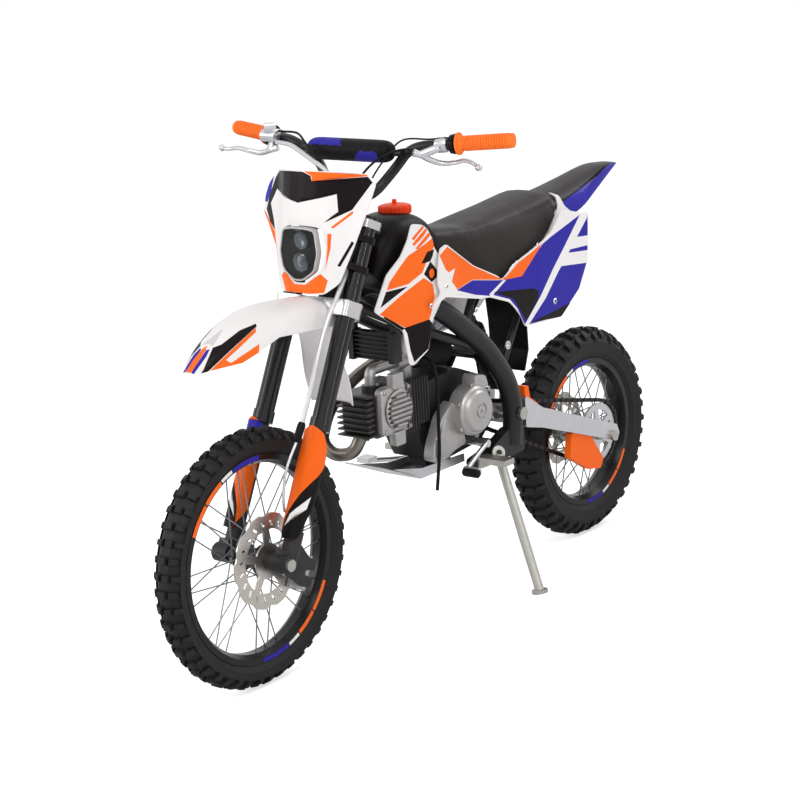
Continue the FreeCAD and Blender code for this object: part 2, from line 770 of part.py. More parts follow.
def main_frame():
    """Head tube, twin spars, lower rails, subframe and the plates that carry the engine and the pegs."""
    left = [pipe(spar_points(), spar_radius), pipe(rail_points(), rail_radius)]
    left.append(pipe([(-60, 78, 652), (-140, 62, 752), (-300, 58, 800), (-480, 56, 871.6)], subframe_radius))
    left.append(pipe([(-196, 76, 520), (-300, 66, 660), (-452, 58, 850)], subframe_radius - 2))
    left.append(side_plate([(-250, 318), (-56, 318), (-50, 340), (-120, 354), (-190, 384), (-250, 384)], 70, 96, 8))
    left.append(side_plate([(-150, 560), (-100, 596), (-116, 520), (-146, 520)], 70, 76, 4))
    left.append(rod((-250, 51, 780), (-250, 51, seat_channel_top - seat_gap), 4.5))
    left += [cross_rod(x, z, 60, 130, 7).cut(outside_of(side_panel_plan)) for x, z in ((-132, 738), (-330, 697))]
    right = [mirrored(shape) for shape in left]
    cross = [cross_rod(-232, 328, -90, 90, 11), cross_rod(-140, 752, -64, 64, subframe_radius),
             cross_rod(-440, 846, -60, 60, subframe_radius - 2), cross_rod(-178, 560, -84, 84, 12)]
    frame = fused([head_tube()] + left + right + cross + [stand_mount()])
    pivot = cross_rod(swingarm_pivot_x, swingarm_pivot_z, -130, 130, pivot_radius + seat_gap)
    return frame.cut([head_bore(), pivot])


def beam_lower_edge(x):
    """Height of the beam's underside at a place along it."""
    front = (swingarm_front - 70, swingarm_pivot_z - 62)
    rear = (rear_axle_x - 22, rear_axle_z - 20)
    return front[1] + (rear[1] - front[1]) * (x - front[0]) / (rear[0] - front[0])


def swingarm():
    """Twin beams joined by a bridge and the pivot tube between the frame plates."""
    inner = swingarm_outer - swingarm_beam_width
    front = swingarm_front
    outline = [(front, swingarm_pivot_z + 34), (front - 70, swingarm_pivot_z - 12),
               (rear_axle_x - 22, rear_axle_z + swingarm_beam_height / 2), (rear_axle_x - 32, rear_axle_z),
               (rear_axle_x - 22, beam_lower_edge(rear_axle_x - 22)), (front - 70, beam_lower_edge(front - 70)),
               (front, swingarm_pivot_z - 44)]
    beam = side_plate(outline, inner, swingarm_outer, 6)
    bridge = block(front - 40, front - 2, -inner - 2, inner + 2, swingarm_pivot_z - 42, swingarm_pivot_z - 6)
    boss = cross_rod(swingarm_pivot_x, swingarm_pivot_z, -pivot_tube_half, pivot_tube_half, 22)
    link = block(front - 20, swingarm_pivot_x - 10, -pivot_tube_half, pivot_tube_half, swingarm_pivot_z - 22,
                 swingarm_pivot_z + 12)
    ear = side_plate([(front - 34, swingarm_pivot_z - 10), (front - 44, swingarm_pivot_z + 52),
                      (front - 24, swingarm_pivot_z + 52), (front - 4, swingarm_pivot_z - 10)], 15, 21, 4)
    body = fused([beam, mirrored(beam), bridge, boss, link] + both_sides(ear))
    holes = [cross_rod(swingarm_pivot_x, swingarm_pivot_z, -60, 60, pivot_radius + seat_gap),
             cross_rod(rear_axle_x, rear_axle_z, -swingarm_outer - 1, swingarm_outer + 1, axle_radius + seat_gap),
             cross_rod(shock_foot[0], shock_foot[1], -30, 30, shock_bolt_radius + seat_gap)]
    return body.cut(holes)


def swingarm_pivot():
    """Pivot bolt through the frame and the swingarm."""
    nut = cross_rod(swingarm_pivot_x, swingarm_pivot_z, frame_half_width + 22, frame_half_width + 30, pivot_radius + 6)
    bolt = cross_rod(swingarm_pivot_x, swingarm_pivot_z, -frame_half_width - 30, frame_half_width + 30, pivot_radius)
    return fused([bolt, nut, mirrored(nut)])


swingarm_front = swingarm_pivot_x - 34.0
pivot_tube_half = 44.0
shock_bolt_radius = 5.0
shock_foot = (swingarm_front - 34.0, swingarm_pivot_z + 42.0)
shock_head = (-178.0, 640.0)


def shock_point(share):
    return (shock_foot[0] + share * (shock_head[0] - shock_foot[0]), 0.0,
            shock_foot[1] + share * (shock_head[1] - shock_foot[1]))


def shock_absorber():
    """Damper with its coil spring drawn as stacked rings between two cups."""
    body = [rod(shock_point(0.06), shock_point(0.5), 8), rod(shock_point(0.42), shock_point(0.94), 19)]
    cups = [rod(shock_point(0.1), shock_point(0.14), 28), rod(shock_point(0.82), shock_point(0.86), 28)]
    coil_count = 7
    coils = []
    for i in range(coil_count):
        share = 0.18 + 0.6 * i / (coil_count - 1)
        coils.append(rod(shock_point(share - 0.016), shock_point(share + 0.016), 27))
    eyes = [cross_rod(x, z, -14, 14, 13) for x, z in (shock_foot, shock_head)]
    bolts = [cross_rod(shock_foot[0], shock_foot[1], -23, 23, shock_bolt_radius)]
    core = rod(shock_point(0.1), shock_point(0.86), 18.5)
    return fused(body + cups + coils + eyes + bolts + [core])


# Engine

def crankcase():
    """Crankcase halves as one casting, with the output sprocket on its left."""
    outline = [(88, 420), (88, 520), (40, 548), (-60, 556), (-150, 520), (-186, 470), (-186, 400), (-140, 362),
               (-20, 352), (60, 366)]
    case = side_plate(outline, case_right_face, case_left_face, 16)
    foot = block(-30, 40, -24, 24, engine_foot, 372)
    return fused([case, foot, front_sprocket()])


def left_cover():
    """Round magneto cover with its lower extension over the sprocket side."""
    base_y = case_left_face
    round_part = spin(-43, 461, [(0, base_y), (cover_radius, base_y), (cover_radius, cover_outer - 22),
                                 (cover_radius - 8, cover_outer - 8), (cover_radius - 26, cover_outer - 4),
                                 (30, cover_outer), (0, cover_outer)])
    toe = side_plate([(20, 500), (66, 470), (84, 400), (70, 366), (-10, 360), (-70, 386), (-60, 440)],
                     base_y, cover_outer - 34, 12)
    return fused([round_part, toe])


def right_cover():
    """Clutch cover, mostly hidden on the far side."""
    base_y = -case_right_face
    round_part = spin(-60, 452, [(0, base_y), (82, base_y), (82, 92), (70, 108), (30, 114), (0, 114)])
    front = spin(34, 452, [(0, base_y), (50, base_y), (50, 84), (40, 92), (0, 92)])
    return mirrored(fused([round_part, front]))




intake_port = ((192, 0, cylinder_z + 40), (192, 0, cylinder_z + 62))
exhaust_port = ((198, -8, cylinder_z - 22), (214, -18.7, cylinder_z - 57))


def cross_stub(ends, radius):
    return rod(*ends, radius)


def cylinder_and_head():
    """Near-horizontal finned barrel and head, with the finned cam cover on the left."""
    barrel = Part.makeCylinder(40, 110, V(barrel_start, 0, cylinder_z), V(1, 0, 0))
    pieces = [barrel, block(150, 232, -50, 46, cylinder_z - 48, cylinder_z + 48)]
    for i in range(6):
        x = barrel_start + 6 + fin_pitch * i
        pieces.append(block(x, x + fin_thickness, -56, 56, cylinder_z - 56, cylinder_z + 56))
    pieces.append(block(232, 246, -40, 38, cylinder_z - 34, cylinder_z + 34))
    pieces.append(cross_rod(171, 512, 30, 62, 46))
    for i in range(7):
        z = 512 - 33 + 11 * i
        pieces.append(block(171 - math.sqrt(44 ** 2 - (z - 512) ** 2), 171 + math.sqrt(44 ** 2 - (z - 512) ** 2),
                            62, 70, z - 2, z + 2))
    pieces.append(cross_stub(intake_port, 20))
    pieces.append(cross_stub(exhaust_port, 20))
    return fused(pieces)


carb_height = cylinder_z + 94
hose_start = (62.0, 30.0, carb_height + 10)


def carburettor():
    """Intake elbow, carburettor body with its float bowl and overflow nipple, and the slide cap."""
    start = intake_port[1]
    elbow = pipe([(start[0], 0, start[2] + seat_gap), (start[0], 0, carb_height), (112, 0, carb_height)], 12.5)
    body = rod((112, 0, carb_height), (36, 0, carb_height), 22)
    bowl = rod((72, 0, carb_height), (72, 0, carb_height - 42), 19)
    cap = rod((72, 0, carb_height), (68, 0, carb_height + 54), 16)
    nipple = rod((hose_start[0], 0, hose_start[2]), hose_start, 4)
    return fused([elbow, body, bowl, cap, nipple])


def air_filter():
    """Tapered cotton filter behind the carburettor."""
    return Part.makeCone(28, 40, 96, V(36 - seat_gap, 0, carb_height), V(-1, 0, 0))


header_points = [(exhaust_port[1][0] + 0.13, exhaust_port[1][1] - 0.09, exhaust_port[1][2] - seat_gap),
                 (230, -29.4, 413),
                 (256, -66, 410), (256, -100, 440), (206, -116, 500), (110, -118, 552), (0, -126, 572),
                 (-100, -144, 570), (-180, -159.6, 570.7), (-236, -160, 592)]


def exhaust_header():
    """Pipe from the port round the front of the engine and back along the right side."""
    return pipe(header_points, 15)


silencer_rear = (-520.0, -162.0, 700.0)


def silencer():
    """Round silencer on the right, with a tapered front, a bored outlet and its bracket on the subframe."""
    start = V(*header_points[-1])
    run = V(*silencer_rear) - start
    run.normalize()
    start = start + run * seat_gap
    cone = Part.makeCone(17, 31, 40, start, run)
    can = Part.makeCylinder(31, 200, start + run * 40, run)
    tail = Part.makeCone(31, 20, 24, start + run * 240, run)
    outlet = Part.makeCylinder(14, 30, start + run * 258, run)
    bore = Part.makeCylinder(11, 60, start + run * 230, run)
    strap = side_plate([(-292, 596), (-262, 596), (-262, 616), (-292, 616)], -136, -78.4, 3)
    return fused([cone, can, tail, outlet, strap]).cut(bore)


def oil_cooler():
    """Finned core between two end tanks, above the engine."""
    foot = 618.0
    height = 68.0
    cooler_ear_top = 698.5
    fin_count = 7
    tanks = [block(152, 184, side * 57 - 7, side * 57 + 7, foot, foot + height) for side in (-1, 1)]
    fins = [block(156, 180, -52, 52, foot + 4 + 10 * i, foot + 6.5 + 10 * i) for i in range(fin_count)]
    backing = block(164, 172, -52, 52, foot + 2, foot + height - 2)
    ear = block(162, 174, 50, 60, foot + height - 4, cooler_ear_top)
    return fused(tanks + fins + [backing] + both_sides(ear))


def skid_plate():
    """Bent plate under the engine: a raised nose, a flat floor and two turned-up edges."""
    floor = engine_foot - 8
    path = [(234, 392), (96, floor), (-70, floor)]
    lower = [(x, z - plate_thickness) for x, z in reversed(path)]
    plate = side_plate(path + lower, -52, 52)
    edge = side_plate([(190, 376), (96, floor), (-70, floor), (-70, floor + 14), (90, floor + 20)], 48, 52)
    posts = [rod((0, side * 14, floor - 1), (0, side * 14, engine_foot), 7) for side in (-1, 1)]
    return fused([plate, edge, mirrored(edge)] + posts)


def footpegs():
    """Pegs on the lower brackets."""
    left = fused([block(-94, -60, 96 + seat_gap, 110, 322, 348), block(-96, -58, 110, 176, 334, 348)])
    return group(both_sides(left))


def gear_lever():
    """Shift lever on its shaft, with the toe pad."""
    arm = pipe([(-86, 106, 376), (-10, 128, 362), (52, 150, 352)], 6)
    shaft = cross_rod(-86, 376, case_left_face, 112, 9)
    pad = cross_rod(52, 352, 146, 186, 10)
    return fused([arm, shaft, pad])


def brake_pedal():
    arm = pipe([(-150, -106, 328), (-84, -122, 312), (40, -146, 334)], 6)
    boss = cross_rod(-150, 330, -112, -96 - seat_gap, 10)
    pad = block(26, 60, -166, -132, 332, 344)
    return fused([arm, boss, pad])


def kick_lever():
    arm = pipe([(-60, -132, 452), (-96, -148, 442), (-146, -152, 480), (-164, -152, 510)], 8)
    boss = cross_rod(-60, 452, -144, -114 - seat_gap, 13)
    toe = rod((-164, -152, 508), (-168, -200, 516), 8)
    return fused([arm, boss, toe])


# Chain guides and rear brake

def chain_slider():
    """Red rubbing strip over the left beam's root."""
    top = swingarm_pivot_z + 34 + seat_gap
    fall = 46.0 / 70.0
    foot = [(swingarm_front - 6, top - 6 * fall), (swingarm_front - 56, top - 56 * fall)]
    outline = foot + [(foot[1][0], foot[1][1] + 4), (swingarm_front - 26, top - 26 * fall + 5),
                      (swingarm_front - 20, top + 18), (swingarm_front - 4, top + 20)]
    return side_plate(outline, swingarm_outer - swingarm_beam_width, swingarm_outer - 4, 1)


def chain_guide():
    """Block below the left beam that keeps the lower run in line."""
    front = -446.0
    rear = -530.0
    outline = [(front, beam_lower_edge(front) - seat_gap), (rear, beam_lower_edge(rear) - seat_gap), (-556, 246),
               (-580, 214), (-566, 192), (-514, 202), (-436, 250)]
    return side_plate(outline, swingarm_outer - swingarm_beam_width + 2, swingarm_outer - 6, 6)


def rear_caliper():
    """Caliper ahead of the right-hand axle block."""
    body = caliper(rear_axle_x + 78, rear_axle_z + 32, rear_disc_offset, rear_disc_radius,
                   swingarm_outer - swingarm_beam_width - seat_gap, rear_axle_x, rear_axle_z)
    return mirrored(body)


# Bodywork

def fuel_tank():
    """Plastic tank over the spars, with its filler neck."""
    outline = [(234, 770), (158, 940), (110, 948), (56, 944), (12, 904), (26, 850), (60, 800), (120, 780)]
    body = side_plate(outline, -78, 78, 14)
    tunnel = pipe(spar_points()[:4], spar_radius + seat_gap)
    space = on_fork(rod((-steering_trail_offset, 0, 500), (-steering_trail_offset, 0, 900), head_tube_radius + 3))
    neck = Part.makeCylinder(26, 14, V(57, 0, 940), V(0, 0, 1))
    bosses = []
    for x, z in ((122, 880), (122, 805)):
        bosses += both_sides(cross_rod(x, z, 70, 150, 9).cut(outside_of(shroud_plan)))
    return fused([body, neck] + bosses).cut(both_sides(tunnel) + [space])


def fuel_cap():
    """Ribbed screw cap with its vent spigot."""
    skirt = Part.makeCylinder(38, 16, V(57, 0, 954 + seat_gap), V(0, 0, 1))
    top = Part.makeCone(38, 26, 6, V(57, 0, 970 + seat_gap), V(0, 0, 1))
    spigot = Part.makeCylinder(4, 10, V(57, 0, 976), V(0, 0, 1))
    return fused([skirt, top, spigot])


def seat():
    """Saddle with side skirts; the channel below clears the subframe."""
    outline = [(4, 898), (-66, 889), (-168, 892), (-326, 902), (-440, 904), (-416, 872), (-313, 812), (-190, 764),
               (-142, 757), (-90, 786), (-6, 838)]
    side_view = side_plate(outline, -130, 130, 12)
    section = [(-105, 740), (-105, 840), (-74, 905), (-40, 925), (40, 925), (74, 905), (105, 840), (105, 740)]
    front_view = prism([(-500, y, z) for y, z in section], (560, 0, 0), 20)
    plan = [(40, -62), (-60, -76), (-160, -110), (-300, -110), (-450, -84), (-450, 84), (-300, 110), (-160, 110),
            (-60, 76), (40, 62)]
    top_view = prism([(x, y, 700) for x, y in plan], (0, 0, 260), 30)
    top = seat_channel_top
    channel = prism([(-500, -74, 700), (-500, -74, top - 17), (-500, -60, top), (-500, 60, top), (-500, 74, top - 17),
                     (-500, 74, 700)], (560, 0, 0), 10)
    return side_view.common(front_view).common(top_view).cut(channel)


shroud_outline = [(189, 940), (131, 921), (92, 878), (26, 830), (81, 795), (77, 758), (128, 714), (146, 668),
                  (213, 631), (245, 636), (240, 682), (255, 718), (345, 772), (296, 843), (224, 893)]
shroud_plan = [(380, 170), (270, 154), (120, 132), (0, 116)]


def left_shroud():
    return lengthwise_cover(shroud_outline, shroud_plan, 0.0, 6)


side_panel_outline = [(20, 822), (-142, 748), (-313, 800), (-407, 858), (-436, 868), (-512, 850), (-504, 727),
                      (-487, 730), (-390, 614), (-231, 630), (-209, 663), (-176, 698), (-108, 723), (51, 748)]
side_panel_plan = [(80, 106), (-120, 118), (-300, 124), (-560, 122)]


def left_side_panel():
    return lengthwise_cover(side_panel_outline, side_panel_plan, 0.0, 6)


def rear_fender():
    """Upswept tail: a channel that narrows to its tip."""
    rows = ((-446, 899, 80, 30), (-520, 915, 78, 60), (-600, 928, 66, 48), (-690, 932, 56, 26), (-760, 926, 50, 12),
            (-804, 916, 42, 6))
    return loft([arch(dict(zip(("x", "crown", "half_width", "drop"), row))) for row in rows])


def mud_flap():
    """Flexible guard between the rear tyre and the shock."""
    path = [(-322, 700), (-336, 600), (-338, 540), (-320, 492)]
    back = [(x + 5, z) for x, z in reversed(path)]
    return side_plate(path + back, -56, 56)


# Side stand

def stand_leg():
    """The stand's leg, from its pivot bracket down to the foot on the ground."""
    foot_x = stand_pivot[0] + stand_forward_reach
    foot_y = stand_pivot[1] + stand_foot_splay
    ground = foot_y * lean_tan
    bottom = V(foot_x, foot_y, ground)
    normal = V(0, -math.sin(math.radians(lean)), math.cos(math.radians(lean)))
    top = bottom + normal * stand_foot_thickness
    foot = Part.makeCylinder(stand_foot_radius, stand_foot_thickness, bottom, normal)
    pivot = V(*stand_pivot)
    leg = rod(tuple(pivot), tuple(top - normal * 2), stand_radius)
    axis = stand_axis()
    eye = Part.makeCylinder(16, 2 * stand_eye_half, pivot - axis * stand_eye_half, axis)
    bolt_hole = Part.makeCylinder(stand_bolt_radius + bearing_gap, 60, pivot - axis * 30, axis)
    boss_space = Part.makeCylinder(17, 40, pivot - axis * (stand_eye_half + 40), axis)
    ground_space = Part.makeCylinder(60, 30, bottom - normal * 30, normal)
    return fused([leg, foot, eye]).cut([bolt_hole, boss_space, ground_space])


def stand_axis():
    """The hinge swings the leg from its parked reach to the fold beside the rear wheel."""
    foot_x = stand_pivot[0] + stand_forward_reach
    foot_y = stand_pivot[1] + stand_foot_splay
    down = V(foot_x, foot_y, foot_y * lean_tan) - V(*stand_pivot)
    folded = V(-392.0, 152.0, 545.0) - V(*stand_pivot)
    axis = down.cross(folded)
    axis.normalize()
    return axis


def stand_mount():
    """Boss and pivot bolt on the left lower bracket of the frame."""
    axis = stand_axis()
    pivot = V(*stand_pivot)
    bolt = Part.makeCylinder(stand_bolt_radius, 30, pivot - axis * 20, axis)
    boss = Part.makeCylinder(13, 22, pivot - axis * (stand_eye_half + seat_gap + 22), axis)
    return fused([bolt, boss])


drain_hose_points = [hose_start, (62, 62, hose_start[2]), (67, 88, 588), (74, 97, 550), (80, 101, 502),
                     (84, 102, 452), (82, 100, 402), (86, 97, 354), (91, 94, 308)]


def drain_hose():
    """Carburettor overflow hose that hangs free to its open end."""
    return pipe(drain_hose_points, drain_hose_radius)


def bend_radii(points):
    return [round(edge.Curve.Radius, 1) for edge in rounded_edges(points) if hasattr(edge.Curve, "Radius")]


def brake_hose_points():
    """From the master cylinder, over the mask and down the left leg, then round the guard to the caliper."""
    bar_end = on_bar(grip_length + 56 + seat_gap, 6, 24)
    upper = [(bar_end[0], -bar_end[1], bar_end[2]), (224, -160, 1102), (243, -112, 1097), (262, -66, 1084),
             (276, -20, 1064), (285, 26, 1036), (291, 60, 998)]
    leg = [(hose_lane + hose_bow * math.sin(math.pi * (z - 240) / 500), hose_lane_y, z) for z in range(740, 200, -50)]
    lower = [(16, 100, 205), (-2, 117, 172), (-26, 120, 146), (-50, 109, 122), (-66, 90, 102), (-76, 72, 84),
             (-83, 59, 62), (-84, 54, 38 + caliper_z + seat_gap)]
    return upper + [fork_point(*point) for point in leg + lower]


def brake_hose():
    """Front brake hose, clipped to the left leg."""
    hose = pipe(brake_hose_points(), brake_hose_radius)
    clips = []
    for z in (335, 612):
        band = leg_rod(z, z + 10, outer_tube_radius + 2.5, 1)
        band = band.cut(leg_rod(z - 1, z + 11, outer_tube_radius + seat_gap, 1))
        tab = block(outer_tube_radius + 1 - leg_lead, hose_lane + hose_bow + 3, hose_lane_y - 5, hose_lane_y + 5,
                    z, z + 10)
        clips.append(on_fork(fused([band, tab])))
    return fused([hose] + clips)


front_wheel = (front_axle_x, front_axle_z)
rear_wheel = (rear_axle_x, rear_axle_z)
sub_parts = {
    "main_frame": main_frame,
    "swingarm": swingarm,
    "swingarm_pivot": swingarm_pivot,
    "shock_absorber": shock_absorber,
    "crankcase": crankcase,
    "engine_covers": lambda: group([left_cover(), right_cover()]),
    "cylinder_and_head": cylinder_and_head,
    "carburettor": carburettor,
    "air_filter": air_filter,
    "exhaust_header": exhaust_header,
    "silencer": silencer,
    "oil_cooler": oil_cooler,
    "skid_plate": skid_plate,
    "footpegs": footpegs,
    "foot_controls": lambda: group([gear_lever(), brake_pedal(), kick_lever()]),
    "drive_chain": chain,
    "chain_guides": lambda: group([chain_slider(), chain_guide()]),
    "rear_axle": lambda: axle(*rear_wheel, swingarm_outer + seat_gap),
    "rear_caliper": rear_caliper,
    "fuel_tank": fuel_tank,
    "fuel_cap": fuel_cap,
    "seat": seat,
    "shrouds": lambda: group(both_sides(left_shroud())),
    "side_panels": lambda: group(both_sides(left_side_panel())),
    "rear_fender": rear_fender,
    "mud_flap": mud_flap,
    "side_stand": stand_leg,
    "drain_hose": drain_hose,
    "fork_tubes": fork_tubes,
    "fork_lowers": fork_lowers,
    "fork_guards": fork_guards,
    "triple_clamps": triple_clamps,
    "front_axle": lambda: axle(*front_wheel, leg_half_spacing + axle_lug_half_width + seat_gap),
    "front_caliper": front_caliper,
    "brake_hose": brake_hose,
    "front_fender": front_fender,
    "front_plate": front_plate,
    "plate_straps": strap_arms,
    "headlight": headlight,
    "handlebar": handlebar,
    "bar_pad": bar_pad,
    "grips": grips,
    "bar_controls": bar_controls,
    "front_tyre": lambda: tyre(*front_wheel, front_tyre_radius, front_tyre_half_width, front_crown_half_width,
                               front_rim_radius, front_rim_half_width),
    "front_rim": lambda: rim(*front_wheel, front_rim_radius, front_rim_half_width),
    "front_spokes": lambda: spokes(*front_wheel, front_rim_radius, front_flange_offset),
    "front_hub": lambda: hub(*front_wheel, front_flange_offset, front_hub_half_length),
    "front_disc": lambda: disc(*front_wheel, front_disc_offset, front_disc_radius, front_flange_offset),
    "rear_tyre": lambda: tyre(*rear_wheel, rear_tyre_radius, rear_tyre_half_width, rear_crown_half_width,
                              rear_rim_radius, rear_rim_half_width),
    "rear_rim": lambda: rim(*rear_wheel, rear_rim_radius, rear_rim_half_width),
    "rear_spokes": lambda: spokes(*rear_wheel, rear_rim_radius, rear_flange_offset),
    "rear_hub": lambda: hub(*rear_wheel, rear_flange_offset, rear_hub_half_length),
    "rear_disc": lambda: mirrored(disc(*rear_wheel, rear_disc_offset, rear_disc_radius,
                                       rear_flange_offset)),
    "rear_sprocket": rear_sprocket,
}


def leaned(shape):
    return turned(shape, -lean, (0, 0, 0), (1, 0, 0))


os.makedirs("parts", exist_ok=True)
parts = {name: leaned(build()) for name, build in sub_parts.items()}
extent = FreeCAD.BoundBox()
for name, shape in parts.items():
    if name != "drain_hose":
        extent.add(shape.BoundBox)
centre = V(-extent.Center.x, -extent.Center.y, 0)
for name, shape in parts.items():
    shape.translate(centre)
    shape.exportStep("parts/" + name + ".step")
print("size", round(extent.XLength, 1), round(extent.YLength, 1), round(extent.ZMax, 1))
print("lowest point", round(extent.ZMin, 2), "moved by", round(centre.x, 3), round(centre.y, 3))
print("drain hose bend radii", bend_radii(drain_hose_points))
print("brake hose bend radii", bend_radii(brake_hose_points()))
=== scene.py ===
import math

import bpy
import numpy as np
from mathutils import Matrix, Vector
from mathutils.geometry import delaunay_2d_cdt


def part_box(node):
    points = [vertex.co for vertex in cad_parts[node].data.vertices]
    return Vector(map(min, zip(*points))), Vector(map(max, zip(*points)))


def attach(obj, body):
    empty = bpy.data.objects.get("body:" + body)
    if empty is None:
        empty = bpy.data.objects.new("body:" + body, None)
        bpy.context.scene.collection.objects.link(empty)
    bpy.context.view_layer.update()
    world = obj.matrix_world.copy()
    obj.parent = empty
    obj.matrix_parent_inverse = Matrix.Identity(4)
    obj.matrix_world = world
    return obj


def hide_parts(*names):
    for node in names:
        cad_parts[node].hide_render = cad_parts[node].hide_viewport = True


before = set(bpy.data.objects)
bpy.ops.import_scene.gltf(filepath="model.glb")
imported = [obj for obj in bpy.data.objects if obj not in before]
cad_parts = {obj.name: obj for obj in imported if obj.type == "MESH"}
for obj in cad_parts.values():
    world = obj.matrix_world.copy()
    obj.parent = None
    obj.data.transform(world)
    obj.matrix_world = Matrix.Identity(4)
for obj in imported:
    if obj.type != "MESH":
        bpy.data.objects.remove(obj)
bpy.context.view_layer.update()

# Everything below is worked out in millimetres on the upright machine: X forward, Y to the rider's left,
# Z up, origin on the ground midway between the wheels. place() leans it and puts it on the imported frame.
stance = dict(
    lean=8.0, rake=26.3, wheelbase=1227.0, legLead=19.0, legSpacing=81.0,
    frontRadius=282.0, frontCrown=12.0, rearRadius=264.0, rearCrown=15.0,
)
leanAngle = math.radians(stance["lean"])
rakeAngle = math.radians(stance["rake"])
frontHeight = stance["frontRadius"] + stance["frontCrown"] * math.tan(leanAngle)
rearHeight = stance["rearRadius"] + stance["rearCrown"] * math.tan(leanAngle)
frontAxle = np.array([stance["wheelbase"] / 2, 0, frontHeight])
rearAxle = np.array([-stance["wheelbase"] / 2, 0, rearHeight])


def leaned(points):
    # rotation about X: y' = y cos + z sin, z' = z cos - y sin
    x, y, z = np.asarray(points, float).T
    c, s = math.cos(leanAngle), math.sin(leanAngle)
    return np.stack([x, y * c + z * s, z * c - y * s], axis=1)


hubLow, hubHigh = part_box("front_hub")
hubCentre = (np.array(hubLow) + np.array(hubHigh)) / 2
shift = hubCentre - leaned(frontAxle[None])[0] / 1000


def place(points):
    return leaned(points) / 1000 + shift


def onFork(points):
    # local points about the front axle, Z along the steering axis, turned back by the rake
    x, y, z = np.asarray(points, float).T
    c, s = math.cos(rakeAngle), math.sin(rakeAngle)
    return np.stack([x * c - z * s, y, x * s + z * c], axis=1) + frontAxle


# Materials


def colour(hexCode, strength=1.0):
    # sRGB hex to linear light
    value = np.array([int(hexCode[i:i + 2], 16) for i in (1, 3, 5)]) / 255
    linear = np.where(value <= 0.04045, value / 12.92, ((value + 0.055) / 1.055) ** 2.4)
    return (*(linear * strength), 1.0)


def addNode(tree, kind, values=None, links=None, **settings):
    node = tree.nodes.new(kind)
    for name, setting in settings.items():
        setattr(node, name, setting)
    for key, value in (values or {}).items():
        node.inputs[key].default_value = value
    for key, socket in (links or {}).items():
        tree.links.new(socket, node.inputs[key])
    return node


def surface(name, tone, shade, patch=40.0, rough=0.4, roughSpread=0.08, metal=0.0, grain=0.6, depth=0.02,
            pattern="noise", coat=0.0, sheen=0.0, anisotropy=0.0, gloss=0.1):
    # tone drifts to shade over patches (mm), and roughness with it; grain (mm) stands depth (mm) proud
    material = bpy.data.materials.new(name)
    material.use_nodes = True
    tree = material.node_tree
    shader = tree.nodes["Principled BSDF"]
    place3d = addNode(tree, "ShaderNodeTexCoord").outputs["Object"]
    drift = addNode(tree, "ShaderNodeTexNoise", {"Scale": 1000 / patch, "Detail": 3.0}, {"Vector": place3d})
    mix = addNode(tree, "ShaderNodeMixRGB", {"Color1": colour(tone), "Color2": colour(shade)},
                  {"Fac": drift.outputs["Fac"]})
    tree.links.new(mix.outputs["Color"], shader.inputs["Base Color"])
    limits = {"To Min": rough - roughSpread, "To Max": rough + roughSpread}
    wander = addNode(tree, "ShaderNodeMapRange", limits, {"Value": drift.outputs["Fac"]})
    tree.links.new(wander.outputs["Result"], shader.inputs["Roughness"])
    if pattern == "cells":
        height = addNode(tree, "ShaderNodeTexVoronoi", {"Scale": 1000 / grain},
                         {"Vector": place3d}).outputs["Distance"]
    else:
        height = addNode(tree, "ShaderNodeTexNoise", {"Scale": 1000 / grain, "Detail": 2.0},
                         {"Vector": place3d}).outputs["Fac"]
    bump = addNode(tree, "ShaderNodeBump", {"Strength": 1.0, "Distance": depth / 1000}, {"Height": height})
    tree.links.new(bump.outputs["Normal"], shader.inputs["Normal"])
    shader.inputs["Metallic"].default_value = metal
    shader.inputs["Coat Weight"].default_value = coat
    shader.inputs["Sheen Weight"].default_value = sheen
    shader.inputs["Anisotropic"].default_value = anisotropy
    shader.inputs["Specular IOR Level"].default_value = 0.5 if metal > 0.4 else gloss
    return material


